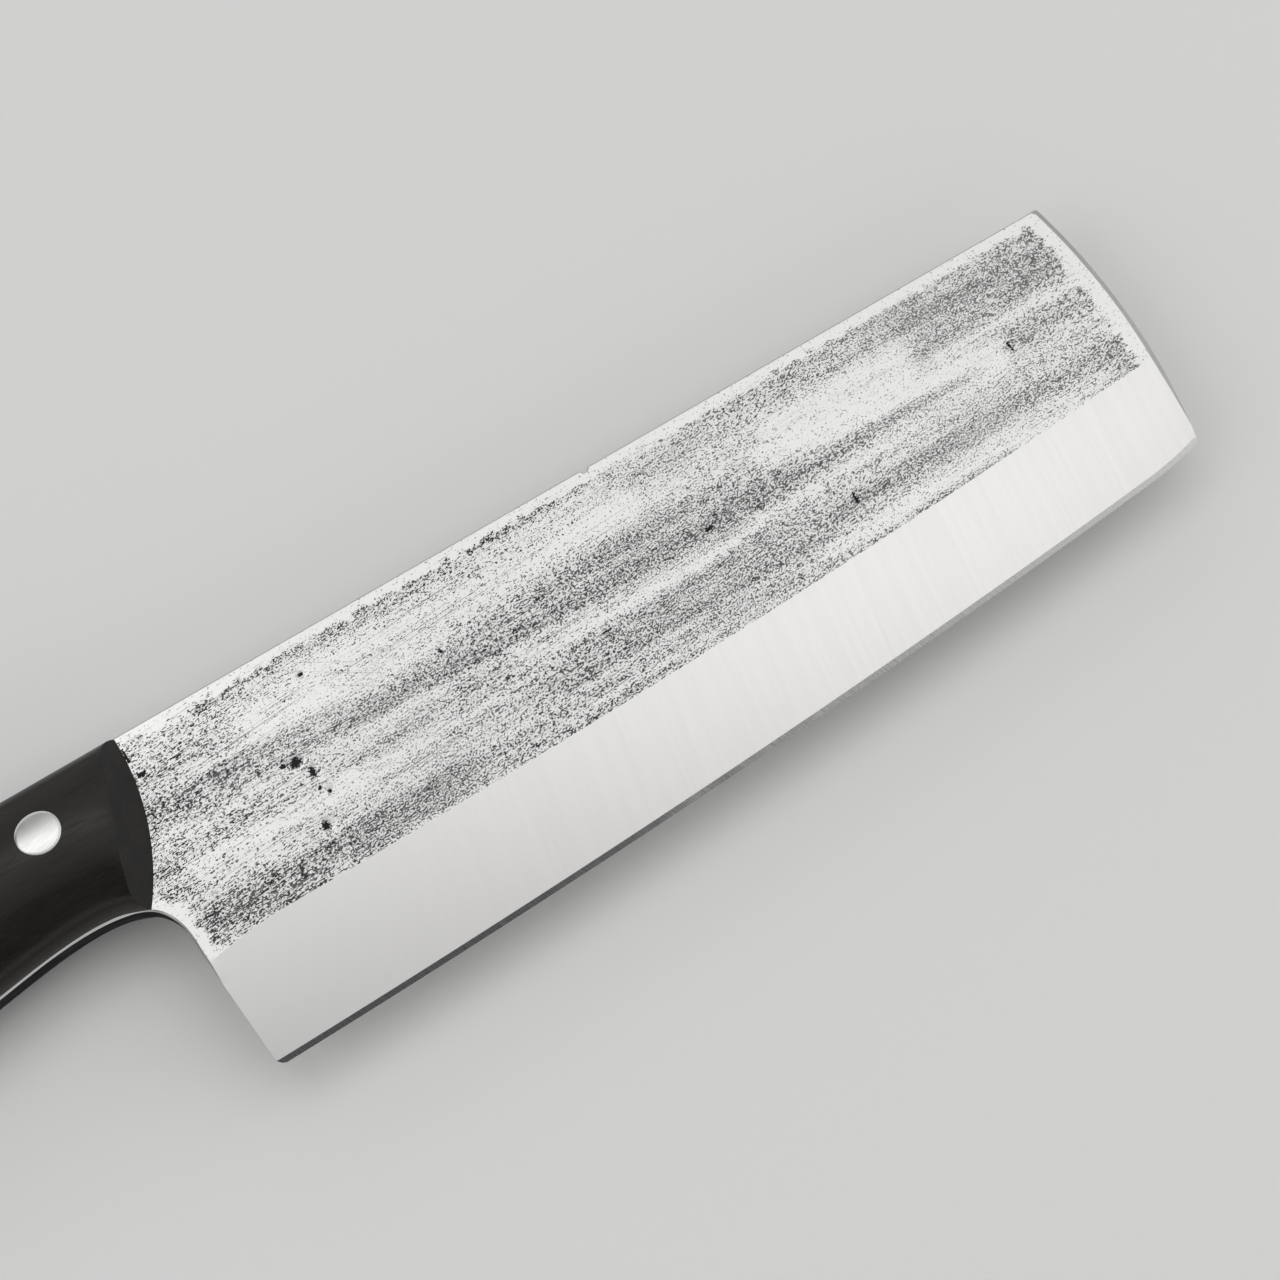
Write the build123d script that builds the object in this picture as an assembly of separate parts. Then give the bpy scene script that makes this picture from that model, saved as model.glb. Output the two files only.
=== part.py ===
from build123d import *
import os
from math import sqrt

# A nakiri knife: one steel blade with a full tang, two wood scales and three cutler's rivets.
# Lengths are millimetres. The knife is drawn from its heel corner, with X towards the tip, Y from the
# edge to the spine and Z out of the blade's side. It is moved over its origin at the very end.

# Blade outline
edge_length = 165.0
heel_height = 54.75
edge_rise = 7.75
edge_straight_share = 0.117
rocker_length = 10.0
rocker_rise = 0.95
tip_lead = 2.5
tip_bulge = 2.5
heel_lean = 1.5
heel_straight = 18.4
heel_corner_ease = 1.2
choil_run = 12.5
choil_shares = ((0.055, 0.535), (0.245, 0.835), (0.58, 0.965))

# Blade section
tang_thickness = 3.8
tip_thickness = 1.9
taper_start = 4.5
bevel_height_heel = 19.2
bevel_height_tip = 15.8
bevel_dip = 1.3
bevel_dip_length = 12.0
bevel_crown = 0.12
shoulder_thickness = 0.45
micro_bevel_width = 0.85
corner_chamfer = 0.3
tip_chamfer_width = 0.95
tip_chamfer_depth = 0.6
nick_share = 0.505
nick_width = 1.4
nick_depth = 0.6

# Handle: each row of shares is the distance back, then the drop of the top line and of the bottom line
# under the spine as shares of the grip's height, then the share of its thickness
grip_length = 116.0
grip_height = 24.15
grip_thickness = 17.6
grip_shares = (
    (0.12, 0.0, 1.0, 0.90),
    (0.285, 0.0, 1.095, 0.955),
    (0.48, 0.012, 1.14, 1.0),
    (0.69, 0.05, 1.115, 0.98),
    (0.86, 0.105, 1.135, 0.975),
    (0.97, 0.15, 1.205, 0.99),
)
front_shares = (-0.075, 0.0, 1.295, 0.87)
grip_corner_radius = 4.2
butt_top_radius = 7.0
butt_toe_radius = 5.0
butt_crown_radius = 24.0
front_set = 2.7
front_radius = 42.0
front_centre_drop = 2.1
front_slope_share = 0.66

# Rivets: each row of shares is the distance back and the depth under the spine
rivet_shares = {"front": (0.11, 0.379), "middle": (0.48, 0.52), "rear": (0.85, 0.60)}
rivet_head_diameter = 6.8
rivet_seat_height = 2.8
rivet_tube_diameter = 4.8
rivet_shank_diameter = 3.0
rivet_end_gap = 0.6
tang_hole_clearance = 0.1

# The wood's oval form lies on ribs across the handle, spaced so that every rivet sits between two ribs
ribs_per_rivet = 5
ribs_ahead = 2
rib_count = 16

# Every cut runs this far past what it cuts
overrun = 6.0

half_tang = tang_thickness / 2
choil_rise = heel_height - grip_height - heel_straight
front_reach = front_radius - front_set - front_shares[0] * grip_length + overrun
seat_level = half_tang + rivet_seat_height
skin_level = grip_thickness / 2 + overrun
blade_end = edge_length + tip_lead + tip_bulge


def belly_height(x):
    """Height of the long belly of the edge, before the rocker at the tip."""
    along = x / edge_length
    return edge_rise * (edge_straight_share * along + (1 - edge_straight_share) * along**2)


def edge_height(x):
    """Height of the cutting edge: the belly, with a short rocker up to the tip corner."""
    past = max(x - (edge_length - rocker_length), 0) / rocker_length
    return belly_height(x) + rocker_rise * past**2


def bevel_line_height(x):
    """Height of the line where the ground bevel meets the flat, which dips at the heel."""
    along = x / edge_length
    dip = max(bevel_dip_length - x, 0) / bevel_dip_length
    narrowing = (bevel_height_heel - bevel_height_tip) * along
    return belly_height(x) + bevel_height_heel - narrowing - bevel_dip * dip**2


def half_thickness(x):
    """Half of the blade's thickness above the bevel, which tapers from the handle to the tip."""
    along = (x - taper_start) / (edge_length - taper_start)
    return half_tang + (tip_thickness / 2 - half_tang) * along


def tip_circle():
    """Centre and radius of the arc that closes the blade from the spine corner to the tip corner."""
    spine_corner = Vector(edge_length + tip_lead, heel_height)
    tip_corner = Vector(edge_length, edge_height(edge_length))
    half_chord = (spine_corner - tip_corner).length / 2
    radius = (half_chord**2 + tip_bulge**2) / (2 * tip_bulge)
    down = (tip_corner - spine_corner).normalized()
    inward = Vector(down.Y, -down.X) * (radius - tip_bulge)
    return (spine_corner + tip_corner) / 2 + inward, radius


def tip_point(y):
    """The point of the tip's arc at a height."""
    centre, radius = tip_circle()
    return Vector(centre.X + sqrt(radius**2 - (y - centre.Y) ** 2), y)


def grip_point(along, drop):
    """A point of the handle's side view, from its shares back and down."""
    return Vector(-along * grip_length, heel_height - drop * grip_height)


def choil_point(along, up):
    """A point of the choil's curve, from its shares back and up from the straight heel."""
    return Vector(-heel_lean - along * choil_run, heel_straight + up * choil_rise)


def knife_outline():
    """The side view of the blade and its tang, run past the cutting edge."""
    top = [grip_point(row[0], row[1]) for row in grip_shares[1:]]
    bottom = [grip_point(row[0], row[2]) for row in grip_shares]
    choil = [choil_point(along, up) for along, up in choil_shares]
    choil_start = Vector(-heel_lean, heel_straight)
    heel_foot = choil_start * (-overrun / heel_straight)
    spine_corner = Vector(edge_length + tip_lead, heel_height)
    butt_back = Vector(-grip_length, (top[-1].Y + bottom[-1].Y) / 2)
    lines = [
        Line(heel_foot, tip_point(heel_foot.Y)),
        ThreePointArc(tip_point(heel_foot.Y), tip_point(heel_height / 2), spine_corner),
        Line(spine_corner, top[0]),
        Spline(*top, tangents=[(-1, 0), top[-1] - top[-2]]),
        ThreePointArc(top[-1], butt_back, bottom[-1]),
        Spline(*reversed(bottom), tangents=[bottom[-2] - bottom[-1], (1, 0)]),
        Spline(bottom[0], *reversed(choil), choil_start, tangents=[(1, 0), heel_foot - choil_start]),
        Line(choil_start, heel_foot),
    ]
    face = make_face(lines)
    for corner, radius in ((top[-1], butt_top_radius), (bottom[-1], butt_toe_radius)):
        face = fillet(face.vertices().sort_by_distance(corner)[0], radius)
    return face


def blade_blank():
    """The forged blank: the outline at the tang's thickness, tapered to the tip, with eased corners."""
    blank = extrude(knife_outline(), half_tang, both=True)
    slope = (half_tang - tip_thickness / 2) / (edge_length - taper_start)
    start = taper_start - overrun
    reach = blade_end + overrun
    wedge_side = Polyline(
        (start, half_tang + slope * overrun),
        (reach, half_tang - slope * (reach - taper_start)),
        (reach, half_tang + overrun),
        (start, half_tang + overrun),
        close=True,
    )
    wedge_plane = Plane((0, heel_height + overrun, 0), x_dir=(1, 0, 0), z_dir=(0, -1, 0))
    wedge = extrude(wedge_plane * make_face(wedge_side), heel_height + 3 * overrun)
    blank = blank - wedge - mirror(wedge, about=Plane.XY)
    for side in (1, -1):
        tip_rim = [edge for edge in blank.edges() if is_rim(edge) and side * edge.center().Z > 0]
        tip_rim = sorted(tip_rim, key=lambda edge: edge.center().X)[-1]
        flat = blank.faces().sort_by_distance((edge_length / 2, heel_height / 2, side * skin_level))[0]
        blank = chamfer(tip_rim, tip_chamfer_width, tip_chamfer_depth, reference=flat)
    rim = [edge for edge in blank.edges() if is_rim(edge) and edge.center().X < edge_length]
    return chamfer(rim, corner_chamfer)


def is_rim(edge):
    """Whether an edge of the blank runs round its side faces, and not across or at the taper's start."""
    middle = edge.center()
    size = edge.bounding_box().size
    on_side = abs(middle.Z) > tip_thickness / 4 and size.Z < tip_thickness / 2
    on_fold = abs(middle.X - taper_start) < corner_chamfer and size.X < corner_chamfer
    return on_side and not on_fold and middle.Y > 0


def section_plane(x):
    """A plane across the knife, with its own x along Y and its own y along Z."""
    return Plane((x, 0, 0), x_dir=(0, 1, 0), z_dir=(1, 0, 0))


def blade_stations():
    """Places along the blade where the ground faces are drawn, from past the heel to past the tip."""
    first = -heel_lean - overrun
    last = blade_end + overrun
    count = 13
    return [first + (last - first) * number / (count - 1) for number in range(count)]


def bevel_cutter():
    """What the grinding takes off one side, down to the primary bevel, which is slightly crowned."""
    sections = []
    for x in blade_stations():
        low = Vector(edge_height(x) + micro_bevel_width, shoulder_thickness / 2)
        high = Vector(bevel_line_height(x), half_thickness(x))
        along = (high - low).normalized()
        out = Vector(-along.Y, along.X)
        chord = (high - low).length
        radius = (chord**2 / 4 + bevel_crown**2) / (2 * bevel_crown)
        centre = (low + high) / 2 - out * (radius - bevel_crown)
        reach = chord / 2 + overrun
        sink = out * sqrt(radius**2 - reach**2)
        start = centre + sink - along * reach
        end = centre + sink + along * reach
        top = half_tang + overrun
        side = [
            ThreePointArc(start, centre + out * radius, end),
            Line(end, (end.X, top)),
            Line((end.X, top), (start.X, top)),
            Line((start.X, top), start),
        ]
        sections.append(section_plane(x) * make_face(side))
    return loft(sections)


def micro_bevel_cutter():
    """What the whetstone takes off one side along the edge."""
    sections = []
    for x in blade_stations():
        edge = Vector(edge_height(x), 0)
        shoulder = Vector(edge_height(x) + micro_bevel_width, shoulder_thickness / 2)
        along = (shoulder - edge).normalized()
        start = edge - along * (edge_height(blade_end) + 2 * overrun)
        end = shoulder + along * overrun
        top = half_tang + overrun
        side = Polyline(start, end, (end.X, top), (start.X, top), close=True)
        sections.append(section_plane(x) * make_face(side))
    return loft(sections)


def heel_corner_cutter():
    """What rounds the heel corner of the edge."""
    on_heel = Vector(-heel_lean * heel_corner_ease / heel_straight, heel_corner_ease)
    on_edge = Vector(heel_corner_ease, edge_height(heel_corner_ease))
    middle = (on_heel + on_edge) / 2
    side = [
        ThreePointArc(on_heel, middle + (Vector(0, 0) - middle) / 3, on_edge),
        Polyline(on_edge, (on_edge.X, -overrun), (-overrun, -overrun), (-overrun, on_heel.Y), on_heel),
    ]
    return extrude(make_face(side), half_tang, both=True)


def nick_cutter():
    """A small chip in the spine."""
    middle = nick_share * edge_length
    side = Polyline(
        (middle - nick_width / 2, heel_height),
        (middle - nick_width / 6, heel_height - nick_depth),
        (middle + nick_width / 6, heel_height - nick_depth),
        (middle + nick_width / 2, heel_height),
        (middle + nick_width / 2, heel_height + overrun),
        (middle - nick_width / 2, heel_height + overrun),
        close=True,
    )
    return extrude(make_face(side), half_tang, both=True)


def rivet_places():
    """The middle of each rivet, by its name."""
    return {name: grip_point(back, down) for name, (back, down) in rivet_shares.items()}


def rod(place, diameter, low, high):
    """A round bar through the handle, from one level to another."""
    return Pos(place.X, place.Y, (low + high) / 2) * Cylinder(diameter / 2, abs(high - low))


def make_blade():
    """The blade with its tang: the blank, ground on both sides and drilled for the rivets."""
    blade = blade_blank()
    for cutter in (bevel_cutter(), micro_bevel_cutter()):
        blade = blade - cutter
        blade = blade - mirror(cutter, about=Plane.XY)
    blade = blade - heel_corner_cutter() - nick_cutter()
    hole_diameter = rivet_tube_diameter + 2 * tang_hole_clearance
    for place in rivet_places().values():
        blade = blade - rod(place, hole_diameter, -half_tang - overrun, half_tang + overrun)
    return blade


def grip_section(back):
    """The middle, the upward line and the half thickness of the wood, a share back along the handle."""
    last = (1 + overrun / grip_length, *grip_shares[-1][1:])
    rows = (front_shares, *grip_shares, last)
    bottom = [grip_point(row[0], row[2]) for row in rows]
    choil = [choil_point(along, up) for along, up in choil_shares[1:]]
    top_line = Spline(*[grip_point(row[0], row[1]) for row in rows])
    bottom_line = Spline(bottom[0], *choil, *bottom[1:])
    side_line = Spline(*[(-row[0] * grip_length, row[3] * grip_thickness / 2) for row in rows])
    along = (back - rows[0][0]) / (last[0] - rows[0][0])
    upward = top_line @ along - bottom_line @ along
    return bottom_line @ along + upward / 2, upward, (side_line @ along).Y


def side_arc_radius(half_height, half_width):
    """Radius of the broad arc that runs into the two small arcs at the wood's corners."""
    reach = half_height - grip_corner_radius
    depth = half_width - half_tang
    return (depth**2 + reach**2 - grip_corner_radius**2) / (2 * (depth - grip_corner_radius))


def rib_plane(middle, upward):
    """A plane across the handle, with its own x up the handle and its own y out of the near side."""
    return Plane(middle, x_dir=upward, z_dir=upward.cross(Vector(0, 0, 1)))


def rib(back):
    """The wood's outline across the handle: on each side a broad arc between two small ones."""
    middle, upward, half_width = grip_section(back)
    half_height = upward.length / 2 - corner_chamfer
    corner = Vector(half_height - grip_corner_radius, half_tang)
    centre = Vector(0, half_width - side_arc_radius(half_height, half_width))
    outward = (corner - centre).normalized()
    joint = corner + outward * grip_corner_radius
    bend = corner + (outward + Vector(1, 0)).normalized() * grip_corner_radius
    start = Vector(half_height, half_tang)
    half = [
        Line((half_height, 0), start),
        ThreePointArc(start, bend, joint),
        ThreePointArc(joint, (0, half_width), (-joint.X, joint.Y)),
        ThreePointArc((-joint.X, joint.Y), (-bend.X, bend.Y), (-half_height, half_tang)),
        Line((-half_height, half_tang), (-half_height, 0)),
    ]
    outline = make_face(half + [mirror(line, about=Plane.XZ) for line in half])
    return rib_plane(middle, upward) * outline


def grip_envelope():
    """The full form of the handle, both scales in one, laid over ribs and run past its two ends."""
    step = (rivet_shares["middle"][0] - rivet_shares["front"][0]) / ribs_per_rivet
    first = rivet_shares["front"][0] - step / 2 - step * ribs_ahead
    return loft([rib(first + step * number) for number in range(rib_count)], ruled=True)


def front_cutter():
    """What lies ahead of the near scale's front, a cone that leans back as it rises from the blade."""
    centre = Pos(front_set - front_radius, heel_height - front_centre_drop, half_tang)
    height = skin_level - half_tang
    cone = Cone(
        front_radius,
        front_radius - front_slope_share * height,
        height,
        align=(Align.CENTER, Align.CENTER, Align.MIN),
    )
    block = Box(
        front_reach,
        2 * heel_height + 2 * overrun,
        height,
        align=(Align.MIN, Align.CENTER, Align.MIN),
    )
    return centre * (block - cone)


def butt_cutter():
    """What lies behind the butt, which is crowned from side to side."""
    tall = heel_height + 2 * overrun
    centre = Pos(-grip_length + butt_crown_radius, heel_height / 2, 0)
    barrel = Rot(90, 0, 0) * Cylinder(butt_crown_radius, tall)
    align = (Align.MAX, Align.CENTER, Align.CENTER)
    return centre * (Box(2 * butt_crown_radius, tall, 2 * skin_level, align=align) - barrel)


def make_scale(envelope, side):
    """The scale on the near side (1) or the far side (-1), oval outside and flat against the tang."""
    flat = Pos(corner_chamfer, 0, side * half_tang) * knife_outline()
    blank = extrude(flat, side * (skin_level - half_tang))
    front = front_cutter()
    if side < 0:
        front = mirror(front, about=Plane.XY)
    scale = (blank & envelope) - front - butt_cutter()
    for place in rivet_places().values():
        scale = scale - rod(place, rivet_tube_diameter, 0, side * skin_level)
        scale = scale - rod(place, rivet_head_diameter, side * seat_level, side * skin_level)
    return scale


def make_head(name, side):
    """A rivet's head in the near scale (1) or the far scale (-1), ground flush with the wood's side."""
    middle, upward, half_width = grip_section(rivet_shares[name][0])
    radius = side_arc_radius(upward.length / 2 - corner_chamfer, half_width)
    barrel = Pos(0, side * (half_width - radius), 0) * Cylinder(radius, 2 * rivet_head_diameter)
    skin = rib_plane(middle, upward) * barrel
    return rod(rivet_places()[name], rivet_head_diameter, side * seat_level, side * skin_level) & skin


def make_stud(name):
    """The rivet half with the solid shank, whose head seats in the near scale."""
    place = rivet_places()[name]
    return make_head(name, 1) + rod(place, rivet_shank_diameter, rivet_end_gap - seat_level, seat_level)


def make_socket(name):
    """The rivet half with the tube that takes the shank, whose head seats in the far scale."""
    place = rivet_places()[name]
    tube = rod(place, rivet_tube_diameter, -seat_level, seat_level - rivet_end_gap)
    bore = rod(place, rivet_shank_diameter, -seat_level, seat_level)
    return make_head(name, -1) + tube - bore


def make_nodes():
    """Every piece of the knife by name."""
    envelope = grip_envelope()
    nodes = {
        "blade": make_blade(),
        "scale_near": make_scale(envelope, 1),
        "scale_far": make_scale(envelope, -1),
    }
    for name in rivet_shares:
        nodes[f"rivet_{name}_stud"] = make_stud(name)
        nodes[f"rivet_{name}_socket"] = make_socket(name)
    return nodes


nodes = make_nodes()
box = Compound([solid for piece in nodes.values() for solid in piece.solids()]).bounding_box()
move = Pos(-box.center().X, -box.center().Y, -box.min.Z)
os.makedirs("parts", exist_ok=True)
for name, piece in nodes.items():
    export_step(move * piece, f"parts/{name}.step")
    print(name, len(piece.solids()), round(piece.volume, 1), piece.is_valid)
print("moved by", move.position)
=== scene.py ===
"""A nakiri knife: a forged blade with a bright ground bevel, dark wood scales and flush rivets."""

import logging
from dataclasses import dataclass, field
from enum import IntEnum
from math import asin, ceil, cos, hypot, pi, sin, sqrt, tan
from typing import Callable

import bmesh
import bpy
import numpy as np
from mathutils import Matrix, Vector
from mathutils.geometry import delaunay_2d_cdt
from mathutils.kdtree import KDTree
from mathutils.noise import noise


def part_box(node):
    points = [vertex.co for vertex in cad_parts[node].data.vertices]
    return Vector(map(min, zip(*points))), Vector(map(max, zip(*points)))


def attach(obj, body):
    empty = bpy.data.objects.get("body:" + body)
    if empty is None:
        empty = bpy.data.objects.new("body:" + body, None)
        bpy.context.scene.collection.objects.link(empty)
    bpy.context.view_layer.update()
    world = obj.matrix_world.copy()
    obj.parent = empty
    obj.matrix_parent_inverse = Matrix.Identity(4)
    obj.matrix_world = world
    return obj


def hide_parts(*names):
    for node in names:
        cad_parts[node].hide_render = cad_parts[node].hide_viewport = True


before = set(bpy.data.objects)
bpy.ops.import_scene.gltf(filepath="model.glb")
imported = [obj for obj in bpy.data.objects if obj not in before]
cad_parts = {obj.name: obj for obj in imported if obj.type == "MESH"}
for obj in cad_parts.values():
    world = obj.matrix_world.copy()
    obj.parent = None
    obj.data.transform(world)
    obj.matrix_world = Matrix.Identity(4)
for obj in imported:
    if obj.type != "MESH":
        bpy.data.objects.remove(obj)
log = logging.getLogger("knife")
Socket = bpy.types.NodeSocket

# Millimetres in a metre, and where the model's sizes are written
METRE = 1000.0
# How far the knife lies inside the top of the CAD model's box, in metres, against rounding
HAIR = 5e-8
# In metres: points nearer than this become one, and edges shorter than this go
WELD = 2e-6
SLIVER = 1e-6
# The same two in the flat drawing, in millimetres
FLAT_WELD = 1e-4
FLAT_SLIVER = 1e-3
# The least angle, in radians, at which an edge between two finishes is sharp
PART_ANGLE = 0.02
# Steps of a round between two lines, and the fewest steps of an arc
ROUND_STEPS = 10
ARC_STEPS = 4
# The range that holds most of a noise
NOISE_LOW, NOISE_HIGH = 0.3, 0.7


class Steel(IntEnum):
    """The finishes on the blade, in the order of its material slots."""

    SKIN = 0
    GRIND = 1
    HONED = 2
    RIM = 3
    # The tang's and the heel's walls, near black with painted shade
    EDGE = 4


class Wood(IntEnum):
    """The finishes on a scale, in the order of its material slots."""

    SIDE = 0
    FRONT = 1


# Lines and meshes


class Curve:
    """A smooth line through points, whose direction at either end may be set."""

    def __init__(self, points: list, start: tuple | None = None, end: tuple | None = None) -> None:
        """Fits the line.

        Args:
            points: the points that it passes.
            start: its direction at the first point, or None to leave it free.
            end: its direction at the last point, or None to leave it free.
        """
        self.points = np.array([tuple(point) for point in points], dtype=float)
        steps = np.linalg.norm(np.diff(self.points, axis=0), axis=1)
        self.knots = np.concatenate(([0.0], np.cumsum(steps)))
        count = len(self.points)
        matrix = np.zeros((count, count))
        wanted = np.zeros_like(self.points)
        chords = np.diff(self.points, axis=0) / steps[:, None]
        for i in range(1, count - 1):
            matrix[i, i - 1 : i + 2] = steps[i], 2 * (steps[i - 1] + steps[i]), steps[i - 1]
            wanted[i] = 3 * (steps[i] * chords[i - 1] + steps[i - 1] * chords[i])
        for row, near, chord, way in ((0, 1, chords[0], start), (count - 1, count - 2, chords[-1], end)):
            if way is None:
                matrix[row, row], matrix[row, near] = 2, 1
                wanted[row] = 3 * chord
            else:
                matrix[row, row] = 1
                wanted[row] = np.array(tuple(way)) / np.linalg.norm(tuple(way))
        self.slopes = np.linalg.solve(matrix, wanted)

    def at(self, share: float) -> Vector:
        """The point a share of the way along the line.

        Args:
            share: the share, from 0 to 1.

        Returns:
            The point.
        """
        place = share * self.knots[-1]
        i = int(np.clip(np.searchsorted(self.knots, place) - 1, 0, len(self.knots) - 2))
        step = self.knots[i + 1] - self.knots[i]
        t = (place - self.knots[i]) / step
        value = (
            (1 + 2 * t) * (1 - t) ** 2 * self.points[i]
            + t * (1 - t) ** 2 * step * self.slopes[i]
            + t * t * (3 - 2 * t) * self.points[i + 1]
            - t * t * (1 - t) * step * self.slopes[i + 1]
        )
        return Vector(value)

    def spread(self, step: float) -> list[Vector]:
        """Points along the line, about a step apart."""
        count = max(int(ceil(self.knots[-1] / step)), 1)
        return [self.at(number / count) for number in range(count + 1)]


def arc(start: Vector, middle: Vector, end: Vector, step: float) -> list[Vector]:
    """Points along the arc through three points, about a step apart.

    Args:
        start: first point.
        middle: a point halfway along the arc.
        end: last point.
        step: distance between the points.

    Returns:
        The points, with both ends.
    """
    chord = end - start
    rise = (middle - (start + end) / 2).length
    radius = (chord.length**2 / 4 + rise**2) / (2 * rise)
    inward = ((start + end) / 2 - middle).normalized()
    centre = middle + inward * radius
    half = asin(min(chord.length / 2 / radius, 1.0))
    across = chord.normalized()
    count = max(int(ceil(2 * half * radius / step)), ARC_STEPS)
    turns = [half * (2 * number / count - 1) for number in range(count + 1)]
    return [centre - inward * radius * cos(turn) + across * radius * sin(turn) for turn in turns]


def spread(start: Vector, end: Vector, step: float) -> list[Vector]:
    """Points along a straight line, about a step apart, with both ends."""
    count = max(int(ceil((end - start).length / step)), 1)
    return [start.lerp(end, number / count) for number in range(count + 1)]


def eased(before: list[Vector], after: list[Vector], radius: float) -> list[Vector]:
    """Joins two lines that meet at a corner with a round.

    Args:
        before: points that end at the corner.
        after: points that start at the corner.
        radius: radius of the round.

    Returns:
        One line of points.
    """
    corner = before[-1]
    turn = (before[-1] - before[-2]).angle(after[1] - after[0])
    back = radius * tan(turn / 2)
    kept = [point for point in before if (point - corner).length > back]
    onward = [point for point in after if (point - corner).length > back]
    start = corner + (kept[-1] - corner).normalized() * back
    end = corner + (onward[0] - corner).normalized() * back
    weight = cos(turn / 2)
    line = []
    for number in range(ROUND_STEPS + 1):
        t = number / ROUND_STEPS
        low, high, peak = (1 - t) ** 2, t * t, 2 * t * (1 - t) * weight
        line.append((start * low + corner * peak + end * high) / (low + peak + high))
    return kept + line + onward


def round_turns(count: int) -> list[float]:
    """Angles evenly round a circle."""
    return [2 * pi * number / count for number in range(count)]


def from_line(point: Vector, start: Vector, end: Vector) -> float:
    """Distance of a point from the straight line between two others.

    Args:
        point: the point.
        start: the line's first end.
        end: its last end.

    Returns:
        The distance.
    """
    along = end - start
    share = min(max((point - start).dot(along) / along.length_squared, 0.0), 1.0)
    return (point - start - along * share).length


def search_tree(points: list[Vector]) -> KDTree:
    """Sorts points so that the nearest to a place is found quickly.

    Args:
        points: the points.

    Returns:
        The tree, which knows them by their numbers.
    """
    tree = KDTree(len(points))
    for number, point in enumerate(points):
        tree.insert(point.to_3d(), number)
    tree.balance()
    return tree


class Outline:
    """The closed side view of a piece, which knows how far inside it a point is."""

    def __init__(self, points: list[Vector]) -> None:
        """Keeps the points, anticlockwise, and sorts them.

        Args:
            points: the outline's points, anticlockwise.
        """
        self.points = points
        self.count = len(points)
        self.tree = search_tree(points)

    def inset(self, point: Vector) -> float:
        """Distance of a point from the outline.

        Args:
            point: the point.

        Returns:
            The distance, inside or outside.
        """
        number = self.tree.find(point.to_3d())[1]
        near = [self.points[(number + step) % self.count] for step in (-1, 0, 1)]
        return min(from_line(point, first, last) for first, last in zip(near, near[1:]))

    def holds(self, points: list[Vector]) -> np.ndarray:
        """Finds which of the points are inside.

        Args:
            points: the points.

        Returns:
            True or False for each.
        """
        places = np.array([tuple(point)[:2] for point in points])
        found = np.zeros(len(places), dtype=bool)
        for first, last in zip(self.points, self.points[1:] + self.points[:1]):
            if first.y != last.y:
                crossed = (first.y > places[:, 1]) != (last.y > places[:, 1])
                slope = (last.x - first.x) / (last.y - first.y)
                found ^= crossed & (places[:, 0] < first.x + slope * (places[:, 1] - first.y))
        return found


@dataclass
class Drawing:
    """Flat points, and the lines between them that a mesh keeps to."""

    points: list[Vector] = field(default_factory=list)
    lines: list[tuple[int, int]] = field(default_factory=list)

    def draw(self, line: list[Vector], closed: bool = False) -> None:
        """Adds a line.

        Args:
            line: its points.
            closed: whether its last point is joined to its first.
        """
        first = len(self.points)
        self.points.extend(line)
        self.lines.extend((first + i, first + i + 1) for i in range(len(line) - 1))
        if closed:
            self.lines.append((len(self.points) - 1, first))

    def fill(self, outline: Outline) -> tuple[list[Vector], list[tuple]]:
        """Joins the points into triangles that keep to the lines and stay inside an outline.

        Args:
            outline: the outline.

        Returns:
            The points, with those where lines cross added, and the triangles, anticlockwise.
        """
        places = [point.to_2d() for point in self.points]
        flat, _, faces, *_ = delaunay_2d_cdt(places, self.lines, [], 1, FLAT_WELD, False)
        flat = [Vector(point) for point in flat]
        held = outline.holds([middle_of(flat, face) for face in faces])
        return flat, [tuple(face) for face, kept in zip(faces, held) if kept]


def middle_of(points: list[Vector], face: tuple) -> Vector:
    """The middle of a flat face's corners."""
    return sum((points[i] for i in face), Vector((0, 0))) / len(face)


@dataclass
class Shell:
    """Points, faces and finishes of one piece, in millimetres of the drawing."""

    points: list[Vector] = field(default_factory=list)
    faces: list[tuple] = field(default_factory=list)
    slots: list[int] = field(default_factory=list)

    def add(self, faces: list[tuple], slot: int) -> None:
        """Adds faces of one finish."""
        self.faces += faces
        self.slots += [int(slot)] * len(faces)

    def grid(self, lines: list[list[Vector]], slot: int, flip: bool) -> None:
        """Adds a sheet of quads over lines of points.

        Args:
            lines: the lines, each of as many points.
            slot: the finish.
            flip: whether the quads turn the other way round.
        """
        first, wide = len(self.points), len(lines[0])
        self.points += [point for line in lines for point in line]
        corners = [first + i * wide + j for i in range(len(lines) - 1) for j in range(wide - 1)]
        faces = [(a, a + 1, a + wide + 1, a + wide) for a in corners]
        self.add([face[::-1] for face in faces] if flip else faces, slot)

    def piece(self, name: str, materials: list, origin: Vector, crease: float) -> bpy.types.Object:
        """Makes the Blender object.

        Args:
            name: its name.
            materials: its materials, by slot.
            origin: the drawing's origin in the shared frame.
            crease: the least angle, in radians, at which an edge is sharp.

        Returns:
            The object, in place.
        """
        mesh = bpy.data.meshes.new(name)
        mesh.from_pydata([point / METRE + origin for point in self.points], [], self.faces)
        for material in materials:
            mesh.materials.append(material)
        mesh.polygons.foreach_set("material_index", self.slots)
        piece = bpy.data.objects.new(name, mesh)
        bpy.context.scene.collection.objects.link(piece)
        weld_and_crease(mesh, crease)
        return piece


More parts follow.
